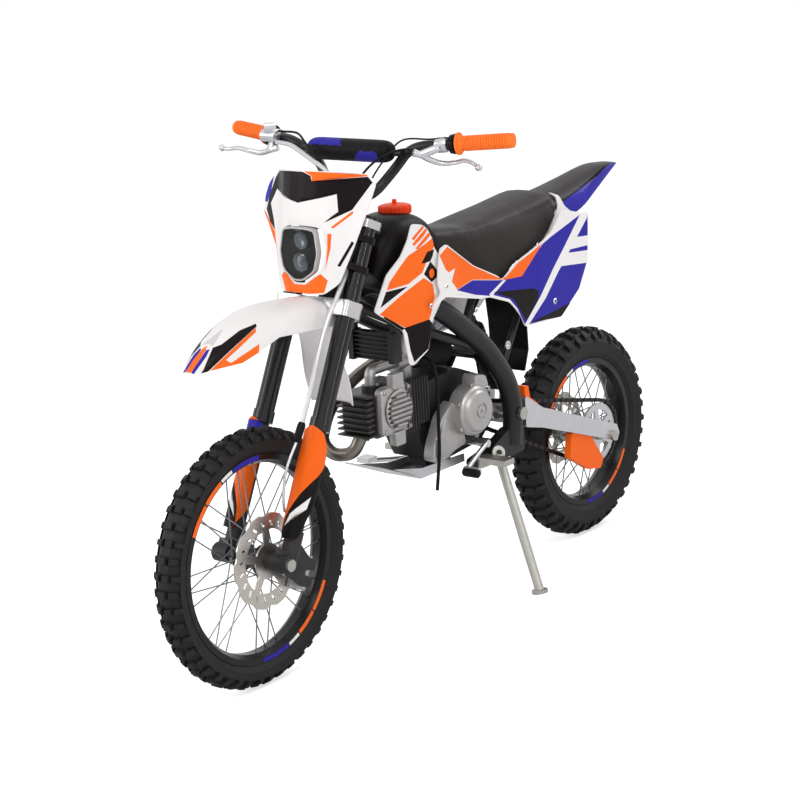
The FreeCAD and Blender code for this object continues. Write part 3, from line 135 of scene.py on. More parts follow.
def rebuildMaterials():
    plastic = dict(patch=90, rough=0.3, roughSpread=0.05, grain=1.6, depth=0.015)
    film = dict(patch=120, rough=0.34, roughSpread=0.04, grain=3.0, depth=0.008, gloss=0.12)
    return dict(
        # injection-moulded polypropylene: even colour, soft gloss, faint orange peel
        whitePlastic=surface("moulded_white_plastic", "#F4F1F0", "#ECE8E8", **plastic),
        orangePlastic=surface("moulded_orange_plastic", "#FF6E1E", "#FA661A", **plastic),
        blackPlastic=surface("moulded_black_plastic", "#151112", "#100D0E", patch=60, rough=0.36, grain=1.2,
                             depth=0.03),
        charcoalPlastic=surface("moulded_charcoal_plastic", "#3A3638", "#322E31", patch=60, rough=0.4,
                                grain=1.2, depth=0.02),
        paleGrey=surface("moulded_pale_grey_plastic", "#D9D6D8", "#CFCCCE", **plastic),
        redPlastic=surface("moulded_red_plastic", "#FF4A1C", "#F24316", **plastic),
        # vinyl film over the plastic: even, and a little shinier than the moulding
        blackFilm=surface("printed_film_black", "#170F10", "#120C0D", **film),
        orangeFilm=surface("printed_film_orange", "#FF7224", "#FF6B1E", **film),
        blueFilm=surface("printed_film_blue", "#302AA6", "#2A249A", **film),
        whiteFilm=surface("printed_film_white", "#F6F3F2", "#EFECEB", **film),
        # pressed vinyl saddle cover: matt, its leather cells of about 1 mm drawn at 1.4 mm so that they show
        seatVinyl=surface("embossed_vinyl_cover", "#231D1C", "#1B1615", patch=35, rough=0.5, grain=1.4,
                          depth=0.12, pattern="cells", sheen=0.03, gloss=0.25),
        padFabric=surface("knit_pad_cover_black", "#141116", "#0F0D11", patch=20, rough=0.5, grain=0.9,
                          depth=0.05, pattern="cells", sheen=0.03),
        padBlue=surface("knit_pad_cover_blue", "#3430A4", "#2D2896", patch=20, rough=0.5, grain=0.9,
                        depth=0.05, pattern="cells", sheen=0.03),
        # vulcanised tread rubber: dull, with a mould-release bloom
        tyreRubber=surface("tyre_rubber", "#191718", "#100F10", patch=14, rough=0.6, grain=0.8, depth=0.06,
                           gloss=0.3),
        hoseRubber=surface("black_hose_rubber", "#1B191A", "#141213", patch=10, rough=0.5, grain=0.8,
                           depth=0.02),
        gripRubber=surface("soft_orange_grip_rubber", "#FF8236", "#F9782C", patch=12, rough=0.55, grain=0.8,
                           depth=0.05),
        # sand-cast aluminium: grey, fine pebble skin
        castAlloy=surface("sand_cast_aluminium", "#B9B7B5", "#A5A3A2", patch=18, rough=0.42, grain=0.9,
                          depth=0.07, metal=0.75),
        paintedCase=surface("silver_painted_engine_cover", "#C9C7C2", "#BEBCB7", patch=40, rough=0.34,
                            grain=0.8, depth=0.03, metal=0.55, coat=0.15),
        darkCase=surface("dark_cast_crankcase", "#343233", "#282627", patch=18, rough=0.5, grain=0.9,
                         depth=0.08, metal=0.5),
        forgedAlloy=surface("forged_aluminium_tumbled", "#D4D3D3", "#C6C5C6", patch=22, rough=0.27, grain=0.7,
                            depth=0.015, metal=0.85),
        brushedAlloy=surface("brushed_aluminium", "#D0CFD2", "#C3C2C6", patch=30, rough=0.32, grain=0.5,
                             depth=0.02, metal=0.85, anisotropy=0.4),
        brightSteel=surface("polished_stainless_steel", "#D8D6D3", "#C6C4C1", patch=25, rough=0.22, grain=0.6,
                            depth=0.01, metal=1.0),
        darkFins=surface("dark_bead_blasted_fins", "#4A4746", "#3B3938", patch=24, rough=0.38, grain=1.2,
                         depth=0.05, metal=0.6),
        spokeSteel=surface("dull_zinc_spokes", "#8E9094", "#7C7E82", patch=10, rough=0.34, grain=0.8,
                           depth=0.02, metal=0.55),
        smokedChrome=surface("smoked_reflector", "#6A6D72", "#54565B", patch=8, rough=0.14, grain=0.6,
                             depth=0.01, metal=1.0),
        braidedHose=surface("steel_braided_hose", "#DCDCDE", "#C4C4C8", patch=4, rough=0.3, grain=1.6,
                            depth=0.15, metal=0.6, pattern="cells"),
        discSteel=surface("ground_stainless_disc", "#CFCAC2", "#BDB8B1", patch=10, rough=0.3, grain=0.4,
                          depth=0.02, metal=1.0, anisotropy=0.6),
        zincSteel=surface("zinc_plated_steel", "#BDBBB4", "#A8A69F", patch=12, rough=0.36, grain=0.7,
                          depth=0.02, metal=0.95),
        heatedSteel=surface("brushed_exhaust_steel", "#8D8780", "#77716A", patch=25, rough=0.36, grain=0.6,
                            depth=0.02, metal=1.0),
        chainSteel=surface("oiled_chain_steel", "#3B393A", "#2C2A2B", patch=8, rough=0.38, grain=0.6,
                           depth=0.03, metal=0.9),
        # powder coat: thick satin paint with a fine orange peel
        frameCoat=surface("satin_black_powder_coat", "#1D1B1C", "#171516", patch=50, rough=0.36, grain=1.4,
                          depth=0.03, gloss=0.35),
        forkBlack=surface("gloss_black_anodised", "#0C0A0B", "#080707", patch=60, rough=0.12,
                          roughSpread=0.03, grain=1.0, depth=0.004, metal=0.1, gloss=0.5),
        rimBlack=surface("anodised_black_rim", "#0F0E0F", "#0A090A", patch=50, rough=0.26, grain=1.0,
                         depth=0.01, metal=0.2, gloss=0.4),
        cotton=surface("oiled_filter_foam", "#2C2A2B", "#1F1D1E", patch=6, rough=0.85, grain=2.5, depth=0.4,
                       pattern="cells"),
    )


finishes = rebuildMaterials()


def clearLens():
    # moulded polycarbonate: clear, slightly smoky
    material = bpy.data.materials.new("clear_polycarbonate_lens")
    material.use_nodes = True
    tree = material.node_tree
    shader = tree.nodes["Principled BSDF"]
    place3d = addNode(tree, "ShaderNodeTexCoord").outputs["Object"]
    haze = addNode(tree, "ShaderNodeTexNoise", {"Scale": 60.0}, {"Vector": place3d})
    wander = addNode(tree, "ShaderNodeMapRange", {"To Min": 0.02, "To Max": 0.07},
                     {"Value": haze.outputs["Fac"]})
    tree.links.new(wander.outputs["Result"], shader.inputs["Roughness"])
    shader.inputs["Base Color"].default_value = colour("#F4F6F8")
    shader.inputs["Transmission Weight"].default_value = 1.0
    shader.inputs["IOR"].default_value = 1.25
    return material


finishes["lens"] = clearLens()
print("materials", len(finishes))


# Mesh helpers


def makePiece(name, points, faces, body, finish, replaces=(), slot=None, smoothAngle=35.0, faceFinish=None):
    mesh = bpy.data.meshes.new(name)
    mesh.from_pydata(place(points).tolist(), [], [list(map(int, face)) for face in faces])
    names = [finish] if isinstance(finish, str) else list(finish)
    for each in names:
        mesh.materials.append(finishes[each])
    if faceFinish is not None:
        mesh.polygons.foreach_set("material_index", np.asarray(faceFinish, np.int32))
    mesh.polygons.foreach_set("use_smooth", np.ones(len(mesh.polygons), bool))
    mesh.update()
    mesh.set_sharp_from_angle(angle=math.radians(smoothAngle))
    piece = bpy.data.objects.new(name, mesh)
    bpy.context.scene.collection.objects.link(piece)
    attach(piece, body)
    if replaces:
        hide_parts(*replaces)
    return piece


def gridFaces(rows, columns, closeRows=False, closeColumns=False):
    # quads between neighbouring rows and columns of a point grid
    i = np.arange(rows if closeRows else rows - 1)
    j = np.arange(columns if closeColumns else columns - 1)
    a, b = np.meshgrid(i, j, indexing="ij")
    nextA, nextB = (a + 1) % rows, (b + 1) % columns
    quads = np.stack([a * columns + b, nextA * columns + b, nextA * columns + nextB, a * columns + nextB],
                     axis=-1)
    return quads.reshape(-1, 4)


def turns(steps):
    # angles once round, stopping short of the first again
    return np.linspace(0, 2 * np.pi, steps, endpoint=False)


def pointGrid(x, y, z):
    # three coordinates spread over one grid, as a list of points
    return np.stack(np.broadcast_arrays(x, y, z), axis=-1).reshape(-1, 3)


def tube(rings, sides, first=True, last=True):
    # the faces between rings of points and across the first and last ring, all wound the same way round
    faces = [tuple(face) for face in gridFaces(rings, sides, False, True)]
    start = (rings - 1) * sides
    if first:
        faces.append(tuple(range(sides)))
    if last:
        faces.append(tuple(range(start + sides - 1, start - 1, -1)))
    return faces


def faceOut(points, faces):
    # a closed solid is turned so that its enclosed volume is positive
    points = np.asarray(points, float)
    total = 0.0
    for face in faces:
        a = points[face[0]]
        for k in range(1, len(face) - 1):
            total += np.dot(a, np.cross(points[face[k]], points[face[k + 1]]))
    return points, [tuple(face) if total > 0 else tuple(face)[::-1] for face in faces]


def joined(parts):
    # several (points, faces) pairs as one
    points, faces, start = [], [], 0
    for somePoints, someFaces in parts:
        points.append(somePoints)
        faces += [tuple(int(k) + start for k in face) for face in someFaces]
        start += len(somePoints)
    return np.concatenate(points), faces


def curveThrough(keys, values, at):
    # smooth curve through the keyed values: cubic spans, with each key's slope taken from its neighbours
    keys, values, at = np.asarray(keys, float), np.asarray(values, float), np.asarray(at, float)
    if keys[0] > keys[-1]:
        keys, values = keys[::-1], values[::-1]
    slopes = np.gradient(values, keys)
    span = np.clip(np.searchsorted(keys, at) - 1, 0, len(keys) - 2)
    width = keys[span + 1] - keys[span]
    t = np.clip((at - keys[span]) / width, 0, 1)
    h00, h10 = 2 * t**3 - 3 * t**2 + 1, t**3 - 2 * t**2 + t
    h01, h11 = -2 * t**3 + 3 * t**2, t**3 - t**2
    near = h00 * values[span] + h10 * width * slopes[span]
    return near + h01 * values[span + 1] + h11 * width * slopes[span + 1]


def revolved(profile, centre, steps):
    # a closed (radius, y) profile turned about a cross axis: x = cx + r sin a, z = cz + r cos a
    r, y = np.asarray(profile, float).T
    angle = turns(steps)[:, None]
    points = pointGrid(centre[0] + r * np.sin(angle), centre[1] + y, centre[2] + r * np.cos(angle))
    return points, gridFaces(steps, len(profile), True, True)


def smoothPath(points, spacing=6.0):
    # evenly spaced points on the curve through the given ones
    points = np.asarray(points, float)
    chord = np.concatenate([[0], np.cumsum(np.linalg.norm(np.diff(points, axis=0), axis=1))])
    at = np.linspace(0, chord[-1], max(8, int(chord[-1] / spacing)))
    return np.stack([curveThrough(chord, points[:, k], at) for k in range(3)], axis=1)


def swept(path, radius, sides):
    # circles carried along a path: p = c + r (n cos a + b sin a), with the frame turned as little as possible
    path = np.asarray(path, float)
    tangent = np.gradient(path, axis=0)
    tangent /= np.linalg.norm(tangent, axis=1)[:, None]
    start = np.array([0, 0, 1.0]) if abs(tangent[0][2]) < 0.9 else np.array([1.0, 0, 0])
    normals = [np.cross(tangent[0], start)]
    for step in tangent[1:]:
        turnedOn = normals[-1] - step * np.dot(normals[-1], step)
        normals.append(turnedOn / np.linalg.norm(turnedOn))
    normals[0] = normals[0] / np.linalg.norm(normals[0])
    n = np.array(normals)
    b = np.cross(tangent, n)
    r = np.broadcast_to(np.asarray(radius, float), (len(path),))[:, None, None]
    a = turns(sides)[None, :, None]
    points = (path[:, None] + r * (n[:, None] * np.cos(a) + b[:, None] * np.sin(a))).reshape(-1, 3)
    return points, [face[::-1] for face in tube(len(path), sides)]


def insideOf(polygon, points):
    # even-odd crossings of a ray towards +u
    polygon = np.asarray(polygon, float)
    a, b = polygon, np.roll(polygon, -1, axis=0)
    u, v = points[:, 0][:, None], points[:, 1][:, None]
    crosses = (a[:, 1] > v) != (b[:, 1] > v)
    with np.errstate(divide="ignore", invalid="ignore"):
        at = a[:, 0] + (v - a[:, 1]) / (b[:, 1] - a[:, 1]) * (b[:, 0] - a[:, 0])
    return (np.sum(crosses & (u < at), axis=1) % 2) == 1


def roundedLoop(corners, radius, steps=5):
    # each corner becomes a quadratic curve that starts and ends radius away from it
    corners = np.asarray(corners, float)
    back, ahead = np.roll(corners, 1, axis=0) - corners, np.roll(corners, -1, axis=0) - corners
    backLength, aheadLength = np.linalg.norm(back, axis=1), np.linalg.norm(ahead, axis=1)
    reach = np.minimum(radius, 0.45 * np.minimum(backLength, aheadLength))[:, None]
    start, end = corners + back / backLength[:, None] * reach, corners + ahead / aheadLength[:, None] * reach
    t = np.linspace(0, 1, steps)[None, :, None]
    curve = (1 - t) ** 2 * start[:, None] + 2 * t * (1 - t) * corners[:, None] + t**2 * end[:, None]
    return curve.reshape(-1, 2)


def trimmedPanel(name, outline, regions, shape, body, finish, step=9.0, thickness=3.0, replaces=(), slot=None,
                 holes=()):
    # A thin moulding: the outline is filled with a grid of points joined to its edge and to the edges of its
    # coloured regions, and shape(u, v) lifts every point onto the panel's curved surface. The back is that
    # surface set in along its normal by the thickness, and a rim joins the two.
    loops = [np.asarray(loop, float) for loop in (outline, *(region[1] for region in regions), *holes)]
    low, high = loops[0].min(0), loops[0].max(0)
    u, v = np.meshgrid(np.arange(low[0] + step / 2, high[0], step), np.arange(low[1] + step / 2, high[1],
                                                                              step))
    inner = np.stack([u.ravel() + 0.31, v.ravel() + 0.17], axis=1)
    inner = inner[insideOf(loops[0], inner)]
    flat, edges = [], []
    for loop in loops:
        start = sum(len(f) for f in flat)
        flat.append(loop)
        edges += [(start + k, start + (k + 1) % len(loop)) for k in range(len(loop))]
    cloud = np.concatenate(flat + [inner])
    vertices, _, triangles, *_ = delaunay_2d_cdt([Vector(p) for p in cloud], edges, [], 0, 1e-4)
    vertices = np.array([tuple(p) for p in vertices])
    triangles = np.array([tuple(t) for t in triangles if len(t) == 3])
    middle = vertices[triangles].mean(axis=1)
    keep = insideOf(loops[0], middle)
    for hole in holes:
        keep &= ~insideOf(hole, middle)
    triangles, middle = triangles[keep], middle[keep]
    used, inverse = np.unique(triangles, return_inverse=True)
    vertices, triangles = vertices[used], inverse.reshape(-1, 3)
    front = shape(vertices[:, 0], vertices[:, 1])
    alongU = shape(vertices[:, 0] + 0.5, vertices[:, 1]) - shape(vertices[:, 0] - 0.5, vertices[:, 1])
    alongV = shape(vertices[:, 0], vertices[:, 1] + 0.5) - shape(vertices[:, 0], vertices[:, 1] - 0.5)
    normal = np.cross(alongU, alongV)
    normal /= np.maximum(np.linalg.norm(normal, axis=1), 1e-9)[:, None]
    back = front - normal * thickness
    count = len(front)
    directed = np.concatenate([triangles[:, [0, 1]], triangles[:, [1, 2]], triangles[:, [2, 0]]])
    keys = directed[:, 0] * count + directed[:, 1]
    border = directed[~np.isin(directed[:, 1] * count + directed[:, 0], keys)]
    rim = np.stack([border[:, 1], border[:, 0], border[:, 0] + count, border[:, 1] + count], axis=1)
    finishNames = [finish]
    index = np.zeros(len(triangles), int)
    for regionFinish, loop in regions:
        if regionFinish not in finishNames:
            finishNames.append(regionFinish)
        index[insideOf(loop, middle)] = finishNames.index(regionFinish)
    faces = [tuple(f) for f in triangles] + [tuple(f) for f in triangles[:, ::-1] + count] + [tuple(f)
                                                                                              for f in rim]
    faceFinish = np.concatenate([index, np.zeros(len(triangles) + len(rim), int)])
    return makePiece(name, np.concatenate([front, back]), faces, body, finishNames, replaces, slot, 40.0,
                     faceFinish)


print("helpers ready")


# Camera, hose, lamps and floor

# fitted to the photo, which is 800 pixels wide; place in mm, angles in degrees
shot = dict(pictureWidth=800, sensorWidth=36, place=(3984.02, 3184.92, 1769.28), yaw=-140.71649,
            pitch=-14.07376, roll=-3.35247, focalPixels=2285.35)


def makeCamera():
    yaw, pitch, roll = (math.radians(shot[key]) for key in ("yaw", "pitch", "roll"))
    view = np.array([math.cos(pitch) * math.cos(yaw), math.cos(pitch) * math.sin(yaw), math.sin(pitch)])
    right = np.cross(view, [0, 0, 1])
    right /= np.linalg.norm(right)
    up = np.cross(right, view)
    turnedRight = math.cos(roll) * right + math.sin(roll) * up
    turnedUp = math.cos(roll) * up - math.sin(roll) * right
    axes = leaned(np.array([turnedRight, turnedUp, -view]))
    spot = place(np.array([shot["place"]]))[0]
    data = bpy.data.cameras.new("camera")
    data.sensor_width = shot["sensorWidth"]
    data.lens = shot["focalPixels"] * shot["sensorWidth"] / shot["pictureWidth"]
    data.clip_end = 100
    camera = bpy.data.objects.new("camera", data)
    camera.matrix_world = Matrix([*np.column_stack([axes.T, spot]).tolist(), [0, 0, 0, 1]])
    bpy.context.scene.collection.objects.link(camera)
    bpy.context.scene.camera = camera


makeCamera()


# the carburettor's overflow hose: a free cord that hangs from its nipple to an open end by the cases
drainHose = dict(
    route=[(62, 30, 609), (62, 62, 609), (67, 88, 588), (74, 97, 550), (80, 101, 502), (84, 102, 452),
           (82, 100, 402), (86, 97, 354), (91, 94, 308)],
    radius=4.0, length=0.335,
)


def hangDrainHose():
    points = place(np.array(drainHose["route"], float))
    curve = bpy.data.curves.new("drain_hose_line", "CURVE")
    curve.dimensions = "3D"
    line = curve.splines.new("NURBS")
    line.points.add(len(points) - 1)
    line.points.foreach_set("co", np.column_stack([points, np.ones(len(points))]).ravel())
    line.order_u = 3
    line.use_endpoint_u = True
    line.resolution_u = 8
    curve.bevel_depth = drainHose["radius"] / 1000
    curve.bevel_resolution = 4
    curve.use_fill_caps = True
    curve.materials.append(finishes["hoseRubber"])
    hose = bpy.data.objects.new("overflow_hose", curve)
    bpy.context.scene.collection.objects.link(hose)
    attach(hose, "frame")
    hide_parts("drain_hose")


hangDrainHose()

# lamp powers in watts, floor size and the point that the lamps face in metres
studio = dict(strip=9.0, ambient=0.58, key=86.0, fill=40.0, rim=50.0, floorSize=60.0, target=(0, 0, 0.55))


def addLamp(name, spot, size, power):
    data = bpy.data.lights.new(name, "AREA")
    data.shape = "DISK"
    data.size = size
    data.energy = power
    lamp = bpy.data.objects.new(name, data)
    lamp.location = spot
    lamp.rotation_euler = (Vector(studio["target"]) - Vector(spot)).to_track_quat("-Z", "Y").to_euler()
    bpy.context.scene.collection.objects.link(lamp)


def makeStudio():
    world = bpy.data.worlds.new("studio")
    bpy.context.scene.world = world
    world.use_nodes = True
    tree = world.node_tree
    tree.nodes.clear()
    path = addNode(tree, "ShaderNodeLightPath")
    rays = {0: path.outputs["Is Camera Ray"], 1: path.outputs["Is Glossy Ray"]}
    seen = addNode(tree, "ShaderNodeMath", None, rays, operation="MAXIMUM")
    seen = addNode(tree, "ShaderNodeMath", None, {0: seen.outputs[0], 1: path.outputs["Is Transmission Ray"]},
                   operation="MAXIMUM")
    level = addNode(tree, "ShaderNodeMapRange", {"To Min": studio["ambient"], "To Max": 1.0},
                    {"Value": seen.outputs[0]})
    sky = addNode(tree, "ShaderNodeBackground", {"Color": colour("#FFFFFF")},
                  {"Strength": level.outputs["Result"]})
    addNode(tree, "ShaderNodeOutputWorld", None, {"Surface": sky.outputs[0]})
    addLamp("key_softbox", (3.2, 2.6, 4.2), 2.4, studio["key"])
    addLamp("fill_softbox", (3.6, -2.6, 2.4), 2.4, studio["fill"])
    addLamp("back_softbox", (-3.4, 1.4, 3.2), 2.0, studio["rim"])
    # two tall strip lights draw the bright lines down the gloss black legs
    for tag, spot in (("left", (0.35, 3.0, 1.0)), ("right", (3.4, -0.9, 1.0))):
        addLamp("strip_light_" + tag, spot, 0.045, studio["strip"])
        strip = bpy.data.lights["strip_light_" + tag]
        strip.shape = "RECTANGLE"
        strip.size_y = 2.2
    size = studio["floorSize"]
    line = np.linspace(-size / 2, size / 2, 9)
    mesh = bpy.data.meshes.new("floor")
    mesh.from_pydata(pointGrid(line[:, None], line, 0.0).tolist(), [], gridFaces(9, 9).tolist())
    floor = bpy.data.objects.new("floor", mesh)
    bpy.context.scene.collection.objects.link(floor)
    material = bpy.data.materials.new("white_paper_floor")
    material.use_nodes = True
    tree = material.node_tree
    tree.nodes.clear()
    path = addNode(tree, "ShaderNodeLightPath")
    grain = addNode(tree, "ShaderNodeTexNoise", {"Scale": 3.0},
                    {"Vector": addNode(tree, "ShaderNodeTexCoord").outputs["Object"]})
    tint = addNode(tree, "ShaderNodeMixRGB", {"Color1": colour("#F4F4F5"), "Color2": colour("#F1F1F2")},
                   {"Fac": grain.outputs["Fac"]})
    paper = addNode(tree, "ShaderNodeBsdfDiffuse", None, {"Color": tint.outputs["Color"]})
    lift = addNode(tree, "ShaderNodeMapRange", {"To Min": 0.0, "To Max": 0.6},
                   {"Value": path.outputs["Is Camera Ray"]})
    glow = addNode(tree, "ShaderNodeEmission", {"Color": colour("#FFFFFF")},
                   {"Strength": lift.outputs["Result"]})
    both = addNode(tree, "ShaderNodeAddShader", None, {0: paper.outputs[0], 1: glow.outputs[0]})
    addNode(tree, "ShaderNodeOutputMaterial", None, {"Surface": both.outputs[0]})
    mesh.materials.append(material)
    bpy.context.scene.view_settings.view_transform = "Standard"


makeStudio()
print("camera, hose and studio")


# The CAD nodes that keep their shape

keptFinishes = dict(
    main_frame="frameCoat", swingarm="brushedAlloy", swingarm_pivot="zincSteel", shock_absorber="darkCase",
    crankcase="darkCase", engine_covers="paintedCase", cylinder_and_head="darkFins", carburettor="castAlloy",
    air_filter="cotton", exhaust_header="heatedSteel", silencer="brushedAlloy", oil_cooler="frameCoat",
    skid_plate="brushedAlloy", footpegs="zincSteel", foot_controls="forgedAlloy",
    chain_guides="orangePlastic", rear_axle="zincSteel", rear_caliper="darkCase", fuel_tank="blackPlastic",
    fuel_cap="redPlastic", mud_flap="blackPlastic", fork_tubes="forkBlack", fork_lowers="darkCase",
    triple_clamps="forgedAlloy", front_axle="zincSteel", front_caliper="castAlloy", brake_hose="braidedHose",
    plate_straps="blackPlastic", headlight="charcoalPlastic", handlebar="frameCoat",
    bar_controls="forgedAlloy", side_stand="zincSteel", front_rim="rimBlack", front_spokes="spokeSteel",
    front_hub="darkCase", front_disc="discSteel", rear_rim="rimBlack", rear_spokes="spokeSteel",
    rear_hub="castAlloy", rear_disc="discSteel", rear_sprocket="brushedAlloy",
)
for node, finish in keptFinishes.items():
    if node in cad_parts:
        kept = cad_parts[node]
        kept.data.materials.clear()
        kept.data.materials.append(finishes[finish])
print("kept nodes", len(keptFinishes))


# Tyres

frontTyre = dict(
    name="front_knobbly_tyre", node="front_tyre", body="front_wheel", centre=frontAxle, outer=282.0,
    half=35.0, crown=12.0, rim=228.0, rimHalf=24.0, lug=11.5, pitches=48,
    rows=[((-12, 12, 9), (17, 31, 8), (-31, -17, 8)), ((3.5, 19, 8), (-19, -3.5, 8), (23, 35, 7),
                                                       (-35, -23, 7))],
)
rearTyre = dict(
    name="rear_knobbly_tyre", node="rear_tyre", body="rear_wheel", centre=rearAxle, outer=264.0, half=43.0,
    crown=15.0, rim=187.0, rimHalf=29.0, lug=11.5, pitches=42,
    rows=[((-15, 15, 10), (21, 38, 9), (-38, -21, 9)), ((4, 23, 9), (-23, -4, 9), (28, 43, 8),
                                                        (-43, -28, 8))],
)


def treadRadius(y, tyre):
    # flat over the crown, then a slope that steepens towards the shoulder
    beyond = np.maximum(np.abs(y) - tyre["crown"], 0)
    return tyre["outer"] - 0.72 * beyond - 0.006 * beyond**2


def knobs(tyre):
    # each knob: a block from y0 to y1, its top narrower than its foot, at its own turn about the axle
    rows = []
    step = 2 * np.pi / tyre["pitches"]
    for k, row in enumerate(tyre["rows"]):
        for y0, y1, halfLength in row:
            at = np.arange(k, tyre["pitches"], 2) * step
            rows.append(np.stack([at, at * 0 + y0, at * 0 + y1, at * 0 + halfLength / tyre["outer"]], axis=1))
    angle, y0, y1, reach = np.concatenate(rows).T
    signs = np.array([(-1, 0), (1, 0), (1, 1), (-1, 1)])
    corners = []
    for taper, lift in ((1.0, -tyre["lug"]), (0.86, 0.0)):
        middle, half = (y0 + y1) / 2, (y1 - y0) / 2 * taper
        y = middle[:, None] + half[:, None] * (2 * signs[None, :, 1] - 1)
        turn = angle[:, None] + reach[:, None] * taper * signs[None, :, 0]
        r = treadRadius(y, tyre) + lift
        corners.append(np.stack([r * np.sin(turn), y, r * np.cos(turn)], axis=-1))
    points = np.concatenate(corners, axis=1).reshape(-1, 3) + tyre["centre"]
    quads = np.array([(4, 5, 6, 7), (3, 2, 1, 0), (0, 1, 5, 4), (1, 2, 6, 5), (2, 3, 7, 6), (3, 0, 4, 7)])
    faces = (np.arange(len(angle))[:, None, None] * 8 + quads).reshape(-1, 4)
    return points, faces


def casing(tyre):
    rim, rimHalf, half, outer, lug = tyre["rim"], tyre["rimHalf"], tyre["half"], tyre["outer"], tyre["lug"]
    yTread = np.linspace(0, half - 4, 6)
    tread = [(treadRadius(y, tyre) - lug + 0.5, y) for y in yTread]
    wall = [(rim - 8, rimHalf - 4.5), (rim - 1, rimHalf - 3.6), (rim + 2, rimHalf + 0.3),
            (rim + 6, rimHalf + 3.5), (rim + 12, rimHalf + 6.5), (rim + 13, rimHalf + 7.6),
            (rim + 15, rimHalf + 7.6), (rim + 16, rimHalf + 7.6)]
    belly = rim + 0.5 * (outer - rim)
    wall += [(belly - 3, half - 0.6), (belly + 3, half - 0.3), (tread[-1][0] - 6, half - 1.5)]
    halfProfile = wall + tread[::-1]
    profile = [(r, -y) for r, y in halfProfile[:-1]] + [(r, y) for r, y in halfProfile[::-1]]
    return revolved(profile, tyre["centre"], 144)


def makeTyre(tyre):
    points, faces = joined([casing(tyre), knobs(tyre)])
    piece = makePiece(tyre["name"], points, faces, tyre["body"], "tyreRubber", (tyre["node"],), "tyre", 30)
    edge = piece.modifiers.new("knob_edges", "BEVEL")
    edge.width = 0.0009
    edge.segments = 1
    edge.limit_method = "ANGLE"
    edge.angle_limit = math.radians(50)


makeTyre(frontTyre)
makeTyre(rearTyre)
print("tyres")


# Chain

chainSpec = dict(pitch=12.7, y=55.0, front=(-150.0, 425.0, 15), rear=(rearAxle[0], rearAxle[2], 41),
                 plate=1.3, height=4.6)


def onArc(centre, radius, angle):
    return centre + radius * np.stack([np.cos(angle), np.sin(angle)], axis=-1)


def between(start, end, share):
    return start + (end - start) * share[:, None]


def chainLine():
    # the loop of pins: two sprocket arcs joined by their outer tangents
    *front, frontTeeth = chainSpec["front"]
    *rear, rearTeeth = chainSpec["rear"]
    frontR, rearR = (chainSpec["pitch"] / (2 * math.sin(math.pi / n)) for n in (frontTeeth, rearTeeth))
    front, rear = np.array(front), np.array(rear)
    distance = math.hypot(*(front - rear))
    heading = math.atan2(front[1] - rear[1], front[0] - rear[0])
    spread = math.acos((rearR - frontR) / distance)
    run = distance * math.sin(spread)
    frontArc, rearArc = 2 * frontR * spread, 2 * rearR * (math.pi - spread)
    whole = 2 * run + frontArc + rearArc
    links = 2 * round(whole / chainSpec["pitch"] / 2)
    s = np.arange(links) * whole / links
    high, low = heading + spread, heading - spread
    pieces = [
        between(onArc(rear, rearR, high), onArc(front, frontR, high), s / run),
        onArc(front, frontR, high - (s - run) / frontR),
        between(onArc(front, frontR, low), onArc(rear, rearR, low), (s - run - frontArc) / run),
        onArc(rear, rearR, low - (s - 2 * run - frontArc) / rearR),
    ]
    part = np.searchsorted([run, run + frontArc, 2 * run + frontArc], s, side="right")
    return np.choose(part[:, None], pieces)


def prisms(rings, low, high):
    # every ring of (x, z) points carried across from y = low to y = high, and closed
    solids = []
    for ring in rings:
        solids.append((np.concatenate([np.insert(ring, 1, y, axis=1) for y in (low, high)]),
                       tube(2, len(ring))))
    return joined(solids)


def makeChain():
    # link plates are two round ends joined by a waist; inner and outer plates take turns; a roller is on
    # every pin
    pins = chainLine()
    along = np.roll(pins, -1, axis=0) - pins
    length = np.linalg.norm(along, axis=1)[:, None]
    along /= length
    across = np.stack([-along[:, 1], along[:, 0]], axis=1)
    angle = np.radians([100, 150, 180, 210, 260, 280, 330, 0, 30, 80])
    du = np.where(np.cos(angle) < 0, 0, length) + chainSpec["height"] * np.cos(angle)
    dv = chainSpec["height"] * np.sin(angle)
    outline = pins[:, None] + along[:, None] * du[..., None] + across[:, None] * dv[:, None]
    parts = []
    for inner, which in ((3.2, 0), (4.7, 1)):
        for sign in (-1, 1):
            y = chainSpec["y"] + sign * inner
            parts.append(prisms(outline[which::2], *sorted((y, y + sign * chainSpec["plate"]))))
    for radius, reach in ((3.6, 3.2), (1.9, 6.6)):
        rings = onArc(pins[:, None], radius, turns(8))
        parts.append(prisms(rings, chainSpec["y"] - reach, chainSpec["y"] + reach))
    points, faces = joined(parts)
    makePiece("roller_chain", points, faces, "frame", "chainSteel", ("drive_chain",), "chain_steel", 30)


makeChain()
print("chain")


# Plastics

